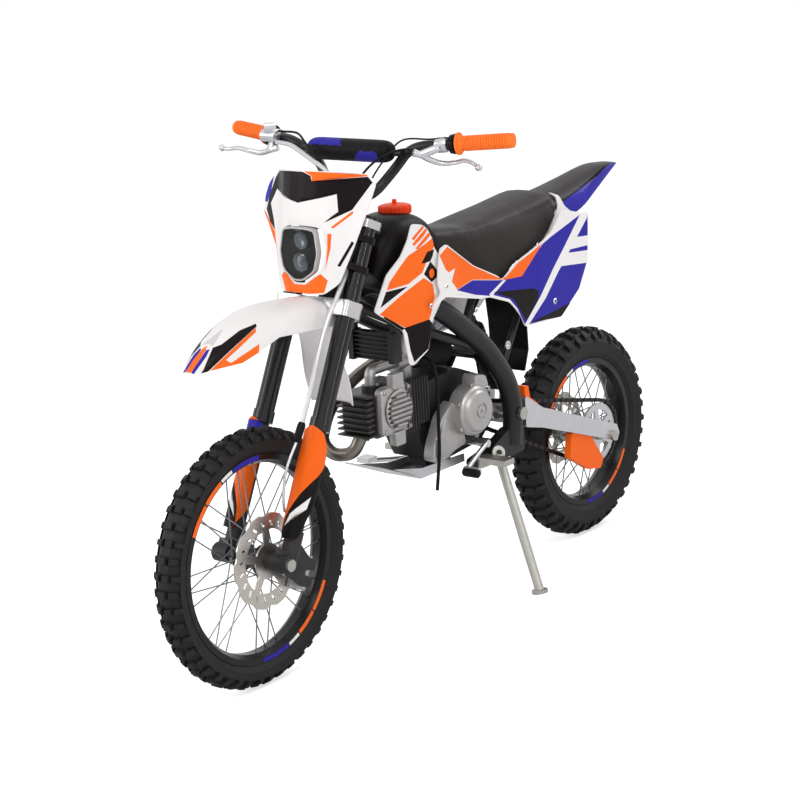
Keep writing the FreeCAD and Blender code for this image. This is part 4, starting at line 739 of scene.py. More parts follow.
shroud = dict(
    outline=[(143, 928), (155, 895), (177, 861), (216, 827), (252, 751), (181, 695), (173, 652), (166, 616),
             (155, 613), (120, 643), (104, 707), (63, 753), (66, 791), (41, 819), (67, 844), (83, 865),
             (88, 888), (102, 912), (120, 924)],
    plan=[(300, 60), (262, 66), (230, 76), (200, 86), (150, 100), (120, 113), (0, 116)],
    regions=[
        ("orangeFilm", [(158, 860), (89, 888), (83, 869), (110, 846), (127, 818), (162, 798), (218, 793),
                        (210, 810), (179, 841)]),
        ("orangeFilm", [(139, 873), (99, 903), (92, 896), (133, 871)]),
        ("orangeFilm", [(145, 884), (106, 914), (102, 908), (141, 879)]),
        ("orangeFilm", [(145, 896), (116, 921), (112, 916), (141, 891)]),
        ("blackFilm", [(128, 838), (109, 861), (84, 863), (93, 847), (101, 839)]),
        ("blackFilm", [(220, 790), (164, 793), (150, 800), (236, 757)]),
        ("orangeFilm", [(239, 743), (185, 775), (125, 806), (98, 787), (93, 759), (110, 719), (121, 704),
                        (175, 702)]),
        ("blackFilm", [(179, 702), (115, 711), (105, 700), (120, 646), (154, 620), (164, 649), (171, 688)]),
        ("blackFilm", [(101, 839), (71, 805), (101, 792), (124, 814)]),
        ("orangeFilm", [(107, 816), (102, 821), (95, 822), (90, 816), (90, 808), (95, 802), (102, 801),
                        (107, 807)]),
        ("blackFilm", [(236, 732), (185, 696), (177, 702), (226, 736)]),
    ],
)
sidePanel = dict(
    outline=[(74, 862), (47, 868), (-51, 802), (-140, 761), (-154, 749), (-219, 783), (-268, 797),
             (-317, 812), (-355, 828), (-377, 848), (-405, 872), (-478, 852), (-512, 847), (-504, 780),
             (-500, 733), (-462, 671), (-383, 617), (-238, 622), (-222, 650), (-200, 674), (-180, 692),
             (-106, 718), (-76, 720), (30, 744), (63, 752), (127, 738), (83, 765), (95, 790), (88, 822)],
    plan=[(127, 133), (80, 126), (0, 117), (-120, 118), (-300, 124), (-560, 122)],
    regions=[
        ("orangeFilm", [(79, 848), (66, 853), (44, 862), (-50, 800), (-142, 757), (-205, 748), (-147, 751),
                        (-45, 770), (14, 759), (36, 782), (18, 808), (46, 804), (58, 813)]),
        ("orangeFilm", [(-300, 794), (-330, 816), (-318, 806), (-292, 790)]),
        ("blueFilm", [(17, 758), (-45, 769), (-147, 750), (-207, 746), (-317, 806), (-350, 816), (-478, 848),
                      (-509, 845), (-502, 780), (-497, 733), (-459, 671), (-383, 620), (-236, 626),
                      (-208, 668), (-180, 695), (-102, 721), (-76, 726)]),
        ("whiteFilm", [(-478, 849), (-512, 847), (-506, 836), (-372, 727), (-318, 675), (-247, 622),
                       (-232, 625), (-298, 684), (-351, 738)]),
        ("whiteFilm", [(28, 752), (-78, 728), (-110, 720), (-76, 718), (30, 744)]),
        ("whiteFilm", [(-105, 725), (-158, 748), (-169, 746), (-115, 719)]),
        ("whiteFilm", [(-107, 725), (-180, 699), (-208, 671), (-238, 624), (-222, 625), (-196, 666),
                       (-171, 688), (-104, 716)]),
        ("blackFilm", [(-121, 727), (-269, 708), (-291, 697), (-286, 676), (-241, 635), (-195, 696)]),
        ("orangeFilm", [(-158, 748), (-219, 779), (-268, 793), (-315, 808), (-229, 744)]),
        ("whiteFilm", [(-453, 797), (-509, 792), (-503, 769), (-428, 772)]),
        ("whiteFilm", [(-410, 766), (-502, 757), (-498, 727), (-385, 739)]),
        ("blackFilm", [(-258, 628), (-353, 637), (-425, 644), (-383, 617)]),
    ],
)
seatPlate = dict(
    outline=[(-437, 904), (-444, 902), (-473, 891), (-483, 864), (-508, 844), (-477, 813), (-350, 796),
             (-390, 819), (-421, 840), (-458, 869), (-460, 890)],
    plan=[(-340, 95), (-510, 95)],
    regions=[],
)


def panelPair(name, spec, node, slot, bulge, lean=0.0):
    # y = plan(x), plus a bulge that is greatest at mid height, less a lean inwards above the middle
    outline = roundedLoop(spec["outline"], 7, 4)
    low, high = outline[:, 1].min(), outline[:, 1].max()
    keys, values = zip(*sorted(spec["plan"]))
    for side, tag in ((1, "left"), (-1, "right")):
        def shape(u, v, side=side):
            x = -side * u
            h = (v - (low + high) / 2) / ((high - low) / 2)
            y = np.interp(x, keys, values) + bulge * (1 - h**2) - lean * np.maximum(v - low, 0)
            return np.stack([x, side * y, v], axis=1)
        turn = np.array([-side, 1])
        loops = [(f, np.array(loop, float) * turn) for f, loop in spec["regions"]]
        nodes = (node,) if node and side == 1 else ()
        trimmedPanel(name + "_" + tag, outline * turn, loops, shape, "frame", "whitePlastic", 10.0, 3.0,
                     nodes, slot)


panelPair("radiator_shroud", shroud, "shrouds", "orange_plastic", 5)
panelPair("side_panel", sidePanel, "side_panels", "blue_plastic", 3)
panelPair("seat_rear_plate", seatPlate, None, "white_plastic", 1, 0.3)

maskSpec = dict(
    outline=[(-106, 1068), (-60, 1074), (0, 1076), (60, 1074), (132, 1065), (151, 1049), (139, 1004),
             (112, 922), (86, 838), (60, 816), (-60, 816), (-86, 838), (-112, 900), (-150, 945), (-176, 968),
             (-168, 1003), (-148, 1034)],
    lamp=[(-52, 955), (-20, 960), (20, 960), (52, 955), (60, 905), (50, 864), (15, 840), (-15, 840),
          (-50, 864), (-60, 905)],
    regions=[
        ("blackFilm", [(-120, 1048), (-102, 1064), (-50, 1071), (2, 1073), (22, 1065), (25, 1054),
                       (133, 1060), (143, 1048), (103, 991), (54, 967), (80, 989), (77, 1026), (-11, 1007),
                       (-112, 1024), (-140, 990), (-124, 955), (-118, 935), (-142, 950), (-160, 975),
                       (-146, 1008)]),
        ("orangeFilm", [(5, 1074), (60, 1072), (131, 1064), (133, 1061), (25, 1054), (24, 1065)]),
        ("orangeFilm", [(104, 989), (106, 984), (72, 954), (69, 958)]),
        ("orangeFilm", [(-170, 972), (-118, 932), (-84, 848), (-112, 902), (-150, 948), (-172, 966)]),
        ("orangeFilm", [(62, 944), (70, 944), (69, 914), (60, 866), (63, 914)]),
        ("blueFilm", [(-166, 1010), (-142, 1040), (-128, 1050), (-140, 1016), (-156, 990), (-170, 990)]),
        ("orangeFilm", [(-64, 848), (-50, 860), (-15, 836), (15, 836), (50, 860), (66, 846), (59, 820),
                        (27, 817), (-43, 817)]),
        ("blackFilm", [(104, 926), (109, 922), (86, 873), (81, 876)]),
    ],
)


def makeMask():
    # x falls back from the brow with |y|, and with height as the mask leans; a soft centre ridge stands proud
    def shape(u, v):
        back = np.interp(np.abs(u), [0, 36, 66, 104, 156, 190], [-3, 2, 14, 44, 66, 84])
        return np.stack([408 - back - 0.14 * (v - 807), u, v], axis=1)
    outline = roundedLoop(maskSpec["outline"], 9, 4)
    lamp = roundedLoop(maskSpec["lamp"], 10, 4)
    loops = [(f, np.array(loop, float)) for f, loop in maskSpec["regions"]]
    trimmedPanel("number_plate_mask", outline, loops, shape, "steering", "whitePlastic", 8.0, 3.0,
                 ("front_plate",), "white_plastic", [lamp])


makeMask()


def mirrored(finish, loop):
    # a coloured field and its twin across the middle
    return [(finish, loop), (finish, [(u, -v) for u, v in loop])]


# x, crown height, half width and drop at the edge
fenderRows = np.array([(352, 800, 54, 58), (413, 810, 57, 66), (486, 815, 64, 64), (530, 815, 71, 58),
                       (570, 810, 72, 52), (600, 804, 69, 58), (661, 785, 57, 60), (720, 753, 40, 38),
                       (762, 722, 18, 8)], float)
fenderSpec = dict(
    outline=[(352, -70), (352, 70), (560, 70), (600, 70), (661, 70), (700, 66), (762, 60), (762, -60),
             (700, -66), (661, -70), (600, -70), (560, -70)],
    regions=[
        *mirrored("orangeFilm", [(755, 70), (698, 51), (608, 40), (614, 46), (697, 57), (687, 64), (615, 62),
                                 (619, 70), (680, 70)]),
        *mirrored("blackFilm", [(757, 69), (698, 50), (605, 39), (602, 34), (640, 28), (689, 27), (703, 17),
                                (725, 30)]),
        ("orangeFilm", [(768, 20), (712, 6), (700, 0), (712, -6), (768, -20)]),
        *mirrored("blueFilm", [(768, 48), (725, 22), (708, 14), (712, 7), (768, 22)]),
        ("paleGrey", [(700, 14), (651, 1), (651, -1), (700, -14), (696, 0)]),
    ],
)
tailRows = np.array([(-790, 924, 24, 4), (-728, 928, 40, 14), (-668, 922, 52, 33), (-623, 915, 60, 49),
                     (-549, 904, 70, 62), (-462, 893, 76, 58)], float)
tailSpec = dict(
    outline=[(-790, -70), (-790, 70), (-462, 70), (-462, -70)],
    regions=mirrored("blueFilm", [(-790, 50), (-462, 51), (-462, 70), (-790, 70)]),
)


def archSurface(rows):
    # y = w sin(f 90 deg), z = crown - drop |f|^2.6 with f across the blade
    def shape(u, v):
        crown, width, drop = (curveThrough(rows[:, 0], rows[:, k], u) for k in (1, 2, 3))
        f = v / 70
        y = width * np.sin(np.clip(f, -1, 1) * np.pi / 2)
        z = crown - drop * np.abs(f) ** 2.6
        return np.stack([u, y, z], axis=1)
    return shape


trimmedPanel("front_mudguard", fenderSpec["outline"], fenderSpec["regions"], archSurface(fenderRows),
             "steering", "whitePlastic", 9.0, 3.0, ("front_fender",), "white_plastic")
trimmedPanel("tail", tailSpec["outline"], tailSpec["regions"], archSurface(tailRows), "frame",
             "charcoalPlastic", 9.0, 3.0, ("rear_fender",), "black_plastic")


def makeMudShield():
    # hangs behind the fork legs: its lower edge curls forward at both sides; rows of x, height and half width
    rows = np.array([(352, 795, 56), (334, 700, 50), (312, 612, 62), (300, 556, 58)], float)[::-1]
    z = np.linspace(556, 796, 24)
    x, width = (curveThrough(rows[:, 1], rows[:, k], z) for k in (0, 2))
    f = np.linspace(-1, 1, 17)
    points = pointGrid(x[:, None] + 26 * np.abs(f) ** 2.4, width[:, None] * f, z[:, None])
    piece = makePiece("front_mud_shield", points, gridFaces(24, 17)[:, ::-1], "steering", "whitePlastic", (),
                      "white_plastic")
    wall = piece.modifiers.new("wall", "SOLIDIFY")
    wall.thickness = 0.003
    wall.offset = -1


makeMudShield()

guardSpec = dict(radius=29.8, outline=[(-34, 96), (-34, 262), (-26, 286), (4, 300), (32, 288), (52, 258),
                                       (60, 226), (56, 150), (28, 56), (-8, 52)],
                 left=[("blackPlastic", [(-18, 40), (-12, 100), (14, 152), (44, 196), (70, 232), (70, 40)]),
                       ("whiteFilm", [(-10, 78), (0, 106), (38, 150), (34, 122)])],
                 right=[("blackPlastic", [(-70, 40), (-70, 232), (-44, 196), (-14, 152), (12, 100),
                                          (18, 40)]),
                        ("blueFilm", [(-60, 292), (40, 292), (40, 232), (-60, 262)]),
                        ("whiteFilm", [(10, 78), (0, 106), (-38, 150), (-34, 122)])])


def makeGuards():
    # part of a cylinder about each slider: u is the arc from straight ahead, positive to the left
    r = guardSpec["radius"]
    for side, tag in ((1, "left"), (-1, "right")):
        def shape(u, v, side=side):
            a = u / r
            bead = 1.6 * np.exp(-((u - 14) / 5) ** 2)
            x = -stance["legLead"] + (r + bead) * np.cos(a)
            y = side * stance["legSpacing"] + (r + bead) * np.sin(a)
            return onFork(np.stack([x, y, v], axis=1))
        outline = roundedLoop(guardSpec["outline"], 8, 4) * np.array([side, 1])
        trimmedPanel("fork_guard_" + tag, outline, guardSpec[tag], shape, "steering", "orangePlastic", 7.0,
                     3.5, ("fork_guards",) if side == 1 else (), "orange_plastic")


makeGuards()
print("plastics")


# Padded pieces


def baked(piece):
    # the mesh that the live modifiers give, kept as the piece's own
    graph = bpy.context.evaluated_depsgraph_get()
    mesh = bpy.data.meshes.new_from_object(piece.evaluated_get(graph), depsgraph=graph)
    piece.modifiers.clear()
    old = piece.data
    piece.data = mesh
    bpy.data.meshes.remove(old)


def pointsOf(mesh):
    flat = np.zeros(len(mesh.vertices) * 3)
    mesh.vertices.foreach_get("co", flat)
    return flat.reshape(-1, 3)


def puff(piece, voxel, cap, pressure=4.0, frames=20):
    # remeshed evenly, blown up as cloth for some frames, and no point moves further than cap (mm)
    remesh = piece.modifiers.new("even", "REMESH")
    remesh.mode = "VOXEL"
    remesh.voxel_size = voxel / 1000
    remesh.use_smooth_shade = True
    baked(piece)
    before = pointsOf(piece.data)
    cloth = piece.modifiers.new("cloth", "CLOTH")
    cloth.settings.use_pressure = True
    cloth.settings.uniform_pressure_force = pressure
    cloth.settings.effector_weights.gravity = 0
    cloth.settings.quality = 4
    cloth.point_cache.frame_start = 1
    cloth.point_cache.frame_end = frames
    for frameNumber in range(1, frames + 1):
        bpy.context.scene.frame_set(frameNumber)
    baked(piece)
    after = pointsOf(piece.data)
    moved = after - before
    length = np.linalg.norm(moved, axis=1)[:, None]
    after = before + moved * np.minimum(1, cap / 1000 / np.maximum(length, 1e-9))
    piece.data.vertices.foreach_set("co", after.ravel())
    bpy.context.scene.frame_set(1)
    piece.data.polygons.foreach_set("use_smooth", np.ones(len(piece.data.polygons), bool))
    piece.data.update()


def softened(piece):
    smooth = piece.modifiers.new("smooth", "SUBSURF")
    smooth.levels = smooth.render_levels = 1


saddle = dict(
    # x, crown height, seam height, half width at the seam, half width at the skirt, skirt's foot
    rows=[(10, 888, 878, 58, 64, 846), (-30, 886, 874, 62, 72, 822), (-74, 881, 869, 68, 84, 795),
          (-120, 877, 866, 73, 98, 768), (-160, 881, 865, 76, 107, 744), (-227, 888, 866, 78, 109, 770),
          (-276, 893, 868, 78, 109, 784), (-324, 898, 871, 78, 106, 798), (-380, 904, 876, 78, 98, 820),
          (-408, 907, 879, 77, 96, 844), (-434, 905, 884, 74, 90, 872), (-452, 893, 880, 68, 80, 874)],
    inside=12.0, swell=1.6,
)


def makeSaddle():
    # each section: crown to seam, seam down the skirt to its foot, back up inside to a flat base
    rows = np.array(saddle["rows"], float)[::-1]
    sections = 60
    x = np.linspace(rows[0, 0], rows[-1, 0], sections)
    crown, seam, seamHalf, skirtHalf, foot = (curveThrough(rows[:, 0], rows[:, k], x) for k in range(1, 6))
    f = np.linspace(0, 1, 9)[None]
    topY = seamHalf[:, None] * np.sin(f * np.pi / 2)
    topZ = crown[:, None] - (crown - seam)[:, None] * f ** 2.2
    g = np.linspace(0.08, 1, 9)[None]
    sideY = seamHalf[:, None] + (skirtHalf - seamHalf)[:, None] * g ** 0.85
    sideZ = seam[:, None] - (seam - foot)[:, None] * g
    t = saddle["inside"]
    base = np.maximum(foot + 3, seam - 22)
    wallTop = seamHalf + (skirtHalf - seamHalf) * ((seam - base) / (seam - foot)) ** 0.85 - t
    innerY = np.stack([skirtHalf - t, wallTop, wallTop * 0.6, wallTop * 0.2], axis=1)
    innerZ = np.stack([foot + 1, base, base, base], axis=1)
    halfY, halfZ = np.concatenate([topY, sideY, innerY], axis=1), np.concatenate([topZ, sideZ, innerZ],
                                                                                 axis=1)
    y = np.concatenate([halfY[:, 1:], -halfY[:, ::-1][:, :-1]], axis=1)
    z = np.concatenate([halfZ[:, 1:], halfZ[:, ::-1][:, :-1]], axis=1)
    y, z = np.concatenate([0 * x[:, None], y], axis=1), np.concatenate([crown[:, None], z], axis=1)
    points = pointGrid(x[:, None], y, z)
    faces = tube(sections, y.shape[1])
    piece = makePiece("saddle", points, faces, "frame", "seatVinyl", ("seat",), "seat_vinyl")
    puff(piece, 5.0, saddle["swell"])
    softened(piece)


makeSaddle()

padSpec = dict(centre=(208, 0, 1096), radius=25.0, half=113.0)


def makePad():
    # radius falls to the ends as a rounded barrel: r = R (1 - 0.33 |t|^14), turned about the cross brace
    t = np.linspace(-1, 1, 40)
    radius = padSpec["radius"] * (1 - 0.33 * np.abs(t) ** 14)
    path = pointGrid(padSpec["centre"][0], padSpec["half"] * t, padSpec["centre"][2])
    points, faces = swept(path, radius, 40)
    covers = ("padFabric", "padBlue")
    piece = makePiece("bar_pad_roll", points, faces, "steering", covers, ("bar_pad",), "pad_foam")
    puff(piece, 4.0, 2.0)
    mesh = piece.data
    centres = np.zeros(len(mesh.polygons) * 3)
    mesh.polygons.foreach_get("center", centres)
    local = (centres.reshape(-1, 3) - shift) * 1000
    c, s = math.cos(leanAngle), math.sin(leanAngle)
    along = local[:, 1] * c - local[:, 2] * s
    x, z = local[:, 0] - padSpec["centre"][0], local[:, 1] * s + local[:, 2] * c - padSpec["centre"][2]
    around = np.degrees(np.arctan2(z, x))
    # the blue field: bounds in mm along the pad that slant with the degrees around it
    blue = (along < -12 - 0.3 * (around - 40)) & (around > 28)
    blue |= (along > 24 + 0.4 * (around + 40)) & (around < 5) & (around > -80) & (along < 92)
    mesh.polygons.foreach_set("material_index", blue.astype(np.int32))
    softened(piece)


makePad()
print("padded pieces")


# Handlebar

barEnd, barBend = np.array([144.0, 385.0, 1122.0]), np.array([200.0, 160.0, 1108.0])
barRun = (barEnd - barBend) / np.linalg.norm(barEnd - barBend)


def alongBar(distance, drop=0.0, ahead=0.0):
    # a point at a distance from the left end of the bar, or beside it
    return barEnd - barRun * distance + np.array([ahead, 0, -drop])


def makeGrips():
    # rubber sleeve: rings every 6 mm stand 1.1 mm proud, with a broad flange at the inner end
    d = np.linspace(122, -4, 240)
    radius = 15.6 + 1.1 * np.clip(2.2 * np.sin((122 - d) * 2 * np.pi / 6.0), -1, 1) * (d > 4) * (d < 106)
    radius = np.where(d > 117.5, 24.0, radius)
    radius = np.where((d <= 117.5) & (d > 111), 17 + (d - 111) * 0.4, radius)
    radius = np.where(d < 1, 15.4, radius)
    path = np.array([alongBar(k) for k in d])
    points, faces = swept(path, radius, 36)
    makePiece("grip_left", points, faces, "steering", "gripRubber", ("grips",), "grip_rubber", 50)
    makePiece("grip_right", points * np.array([1, -1, 1]), [face[::-1] for face in faces], "steering",
              "gripRubber", (), "grip_rubber", 50)


makeGrips()

cables = dict(
    # black clutch, throttle and stop switch cables
    clutch=dict(radius=2.6,
                path=[alongBar(168, 8, 30), alongBar(196, 4, 34), (226, 150, 1104), (246, 100, 1082),
                      (258, 60, 1040), (262, 44, 985), (266, 40, 930), (286, 42, 880), (300, 44, 850)]),
    throttle=dict(radius=2.6,
                  path=[alongBar(150, -16, 12) * [1, -1, 1], alongBar(190, -18, 16) * [1, -1, 1],
                        (220, -140, 1128), (246, -96, 1112), (262, -40, 1070), (268, 0, 1010), (268, 24, 950),
                        (290, 30, 880), (302, 30, 850)]),
    kill=dict(radius=2.0,
              path=[alongBar(140, -14, 6), alongBar(180, -14, 8), (210, 140, 1120), (228, 104, 1078),
                    (240, 72, 1030), (256, 52, 980), (264, 50, 930), (290, 52, 870)]),
)
for name, cable in cables.items():
    points, faces = swept(smoothPath(cable["path"], 5.0), cable["radius"], 10)
    makePiece(name + "_cable", points, faces, "steering", "hoseRubber", (), "rubber")
print("handlebar")


# Lamp

lampSpec = dict(
    outline=[(-46, 955), (-18, 959), (18, 959), (46, 955), (55, 905), (45, 864), (13, 843), (-13, 843),
             (-45, 864), (-55, 905)],
    # the face: its x at mid height, that height, and how fast it falls back with height and to the sides
    face=402.0, height=902.0, rake=0.084, sweep=0.06,
    # scale of the outline and lift from the face
    bezel=[(0.99, -9), (0.99, 1), (0.97, 4), (0.93, 4), (0.9, 2), (0.89, -6)],
    bowl=[(0.9, 2), (0.86, -8), (0.7, -16), (0.4, -19)],
    # height, radius and depth
    reflectors=[(930, 19, 7), (884, 21, 8)],
    # left of the middle, height, x of its base, radius and bulge
    projector=(6, 884, 395, 15, 11),
)


def lampRings(loop, steps):
    # the outline scaled about the middle of the face, each ring lifted from the face
    rings = []
    for scale, lift in steps:
        y, rise = loop[:, 0] * scale, (loop[:, 1] - lampSpec["height"]) * scale
        x = lampSpec["face"] + lift - lampSpec["rake"] * rise - lampSpec["sweep"] * np.abs(y)
        rings.append(np.stack([x, y, lampSpec["height"] + rise], axis=1))
    return np.concatenate(rings)


def makeLamp():
    # a bezel that stands proud of the mask, a bowl, a clear cover, two reflectors and a projector lens
    loop = roundedLoop(lampSpec["outline"], 8, 4)
    for name, steps, finish, node in (("bezel", lampSpec["bezel"], "castAlloy", ("headlight",)),
                                      ("bowl", lampSpec["bowl"], "blackPlastic", ())):
        faces = tube(len(steps), len(loop), False, name == "bowl")
        makePiece("lamp_" + name, lampRings(loop, steps), faces, "steering", finish, node, "lamp_plastic", 40)
    middle = np.array([0, lampSpec["height"]])
    cover = middle + (loop - middle) * 0.9

    def glassShape(u, v):
        x = lampSpec["face"] + 3 - lampSpec["rake"] * (v - lampSpec["height"]) - 0.0012 * u**2
        return np.stack([x, u, v], axis=1)
    trimmedPanel("lamp_cover", cover, [], glassShape, "steering", "lens", 9.0, 2.0, (), "lamp_plastic")
    left, lensHeight, base, lensRadius, bulge = lampSpec["projector"]
    bowls = []
    for z, r, depth in lampSpec["reflectors"]:
        turn = turns(32)
        share = np.array([1.0, 0.97, 0.86, 0.7, 0.5, 0.3, 0.12])[:, None]
        reach = r * share * (1 + 0.03 * np.cos(8 * turn) * (share > 0.3))
        x = lampSpec["face"] - 1 - 0.12 * (z - lampSpec["height"]) - depth * (1 - share**2)
        bowls.append((pointGrid(x, left + reach * np.cos(turn), z + reach * np.sin(turn)),
                      tube(7, 32, False)))
    points, faces = joined(bowls)
    makePiece("lamp_reflectors", points, faces, "steering", "smokedChrome", (), "lamp_plastic", 30)
    turn = turns(28)
    up = np.linspace(0, np.pi / 2, 8)[:-1, None]
    reach = lensRadius * np.cos(up)
    y, z = left + reach * np.cos(turn), lensHeight + reach * np.sin(turn)
    dome = pointGrid(base + bulge * np.sin(up), y, z)
    makePiece("projector_lens", dome, tube(7, 28), "steering", "lens", (), "lamp_plastic", 60)


makeLamp()
print("lamp")


# Tank and cap

tankSpec = dict(
    # x, top, half width and foot
    rows=[(232, 800, 40, 778), (214, 868, 58, 776), (186, 908, 70, 776), (150, 932, 76, 778),
          (110, 940, 78, 782), (70, 938, 77, 792), (36, 922, 74, 812), (14, 898, 68, 838)],
    power=3.2, sections=40, sides=48,
)


def makeTank():
    # sections are superellipses between each station's foot and top
    rows = np.array(tankSpec["rows"], float)[::-1]
    x = np.linspace(rows[0, 0], rows[-1, 0], tankSpec["sections"])
    top, half, foot = (curveThrough(rows[:, 0], rows[:, k], x)[:, None] for k in (1, 2, 3))
    c, s = np.cos(turns(tankSpec["sides"])), np.sin(turns(tankSpec["sides"]))
    y = half * np.sign(c) * np.abs(c) ** (2 / tankSpec["power"])
    z = (top + foot) / 2 + (top - foot) / 2 * np.sign(s) * np.abs(s) ** (2 / tankSpec["power"])
    points, faces = faceOut(pointGrid(x[:, None], y, z), tube(tankSpec["sections"], tankSpec["sides"]))
    makePiece("tank_shell", points, faces, "frame", "blackPlastic", ("fuel_tank",), "black_plastic", 50)


capSpec = dict(
    x=70, base=934, ribs=24, ribHeight=0.9, sides=144,
    # radius, height above the base and share of the rib
    profile=[(36, 0, 0), (37, 2, 1), (37, 15, 1), (35, 18, 0.6), (30, 20, 0), (18, 22, 0), (6, 23, 0),
             (5, 31, 0), (3.5, 32, 0)],
)


def makeCap():
    # ribbed screw cap: r = R + rib sign(cos 24 a) on its skirt, then a domed lid with a vent stub
    a = turns(capSpec["sides"])
    radius, rise, rib = np.array(capSpec["profile"]).T[:, :, None]
    r = radius + capSpec["ribHeight"] * rib * np.sign(np.cos(capSpec["ribs"] * a))
    points = pointGrid(capSpec["x"] + r * np.cos(a), r * np.sin(a), capSpec["base"] + rise)
    points, faces = faceOut(points, tube(len(capSpec["profile"]), capSpec["sides"]))
    makePiece("filler_cap", points, faces, "frame", "redPlastic", ("fuel_cap",), "orange_plastic", 35)


makeTank()
makeCap()
print("tank")


# Engine and bar details


def embossed(outline, rounding, steps):
    # an outline in the side plane (x, z), carried through (y, scale) steps and closed at both ends
    loop = roundedLoop(outline, rounding, 5)
    middle = loop.mean(axis=0)
    y, scale = np.array(steps, float).T[:, :, None]
    x, z = (middle[k] + (loop[:, k] - middle[k]) * scale for k in (0, 1))
    return faceOut(pointGrid(x, y, z), tube(len(steps), len(loop)))


def turned(profile, centre, steps):
    # (radius, y) rings about a sideways axis through centre (x, z), closed at both ends
    a = turns(steps)
    r, y = np.array(profile, float).T[:, :, None]
    points = pointGrid(centre[0] + r * np.cos(a), y, centre[1] + r * np.sin(a))
    return faceOut(points, tube(len(profile), steps))


def boltHead(x, y, z, radius=5.0, tall=4.0):
    # a hexagon with a socket
    return turned([(radius, y), (radius, y + tall * 0.7), (radius * 0.8, y + tall), (radius * 0.5, y + tall),
                   (radius * 0.45, y + tall * 0.4)], (x, z), 6)


def block(x, z, width, height):
    return [(x, z), (x + width, z), (x + width, z + height), (x, z + height)]


engineSpec = dict(
    # raised parts: outline (x, z), rounding of its corners and (y, scale) steps; turned parts: (radius, y)
    head=[([(122, 456), (228, 460), (227, 568), (121, 566)], 16, [(40, 1), (55, 1), (58, 0.97), (59, 0.93)]),
          ([(150, 560), (190, 560), (188, 596), (152, 596)], 5, [(46, 1), (62, 1), (64, 0.94)]),
          ([(155, 430), (190, 430), (192, 464), (154, 464)], 5, [(46, 1), (62, 1), (64, 0.94)])],
    headCentre=(171, 512), ring=[(46, 56), (46, 64), (43, 66), (40, 66), (38, 63)],
    headBolts=[(132, 466), (217, 470), (216, 558), (131, 556)],
    window=37.5, slatHeight=5.2,
    magneto=[([(-72, 500), (-40, 512), (-50, 548), (-88, 540), (-98, 512)], 8,
              [(76, 1), (108, 1), (112, 0.94)]),
             ([(14, 500), (58, 470), (92, 410), (100, 378), (64, 362), (14, 382), (-30, 388), (-20, 430)], 10,
              [(66, 1), (86, 1), (92, 0.97), (94, 0.9)]),
             ([(74, 402), (84, 404), (62, 452), (46, 470), (40, 462)], 4, [(92, 1), (96, 0.98), (97, 0.9)])],
    magnetoCentre=(-40, 466), boltCircle=60,
    drum=[(58, 78), (58, 112), (56, 118), (52, 121), (50, 121), (48, 126), (44, 130), (30, 132), (20, 132),
          (19, 129), (14, 129), (13, 132), (5, 132), (4, 129)],
    coverBolts=[(88, 380), (56, 374), (6, 396), (82, 424)],
)


def makeEngineCovers():
    x0, z0 = engineSpec["headCentre"]
    head = [embossed(*part) for part in engineSpec["head"]]
    head.append(turned(engineSpec["ring"], (x0, z0), 72))
    head += [boltHead(x, 59, z) for x, z in engineSpec["headBolts"]]
    for rise in range(-33, 34, 11):
        # slats across the round window
        half = math.sqrt(engineSpec["window"]**2 - rise**2)
        slat = block(x0 - half, z0 + rise - engineSpec["slatHeight"] / 2, 2 * half, engineSpec["slatHeight"])
        head.append(embossed(slat, 2.4, [(62, 1), (70, 1), (71.5, 0.96)]))
    points, faces = joined(head)
    makePiece("head_cover", points, faces, "frame", "castAlloy", (), "engine_silver", 35)
    x0, z0 = engineSpec["magnetoCentre"]
    magneto = [turned(engineSpec["drum"], (x0, z0), 96)]
    magneto += [embossed(*part) for part in engineSpec["magneto"]]
    for degrees in range(25, 385, 60):
        a, r = math.radians(degrees), engineSpec["boltCircle"]
        magneto.append(boltHead(x0 + r * math.cos(a), 108, z0 + r * math.sin(a), 5.5, 6))
    magneto += [boltHead(x, 92, z, 5, 4) for x, z in engineSpec["coverBolts"]]
    points, faces = joined(magneto)
    makePiece("magneto_cover", points, faces, "frame", "castAlloy", ("engine_covers",), "engine_silver", 35)
    # upright fins beside the barrel, then level ones in front of the head
    fins = [embossed(block(62 + 9.5 * i, 460, 3, 106), 1, [(30, 1), (60, 1), (61, 0.9)]) for i in range(9)]
    fins += [embossed(block(236, 462 + 13 * i, 26, 4), 1.5, [(-44, 1), (44, 1), (45, 0.95)]) for i in range(8)]
    points, faces = joined(fins)
    makePiece("cooling_fins", points, faces, "frame", "darkFins", (), "engine_silver", 35)


makeEngineCovers()


def makeBoltSet():
    spots = [(-171, 116, 592, 11), (-40, 128, 702, 6), (118, 124, 742, 6), (-357, 122.5, 660, 8),
             (-455, 97, 852, 6), (60, 125, 776, 5)]
    points, faces = joined([boltHead(x, y, z, r, 4) for x, y, z, r in spots])
    makePiece("panel_bolts", points, faces, "frame", "brightSteel", (), "steel", 35)
    sleeve = swept([(91, y, 362) for y in (172, 176, 212, 214)], (7, 10, 10, 8), 20)
    makePiece("shift_pad_rubber", *sleeve, "frame", "hoseRubber", (), "rubber", 40)


makeBoltSet()

levers = dict(
    left=[(238, 196, 1102), (226, 206, 1096), (212, 220, 1084), (193, 236, 1075), (166, 250, 1073),
          (148, 264, 1075), (138, 278, 1068), (137, 290, 1060)],
    right=[(205, -215, 1092), (212, -232, 1086), (224, -250, 1081), (238, -272, 1087), (246, -297, 1093),
           (254, -321, 1091), (250, -342, 1092)],
)


def barSleeve(distances, radii, sides, sign):
    # rings about the bar, at distances from its end
    return swept([alongBar(distance) * sign for distance in distances], radii, sides)


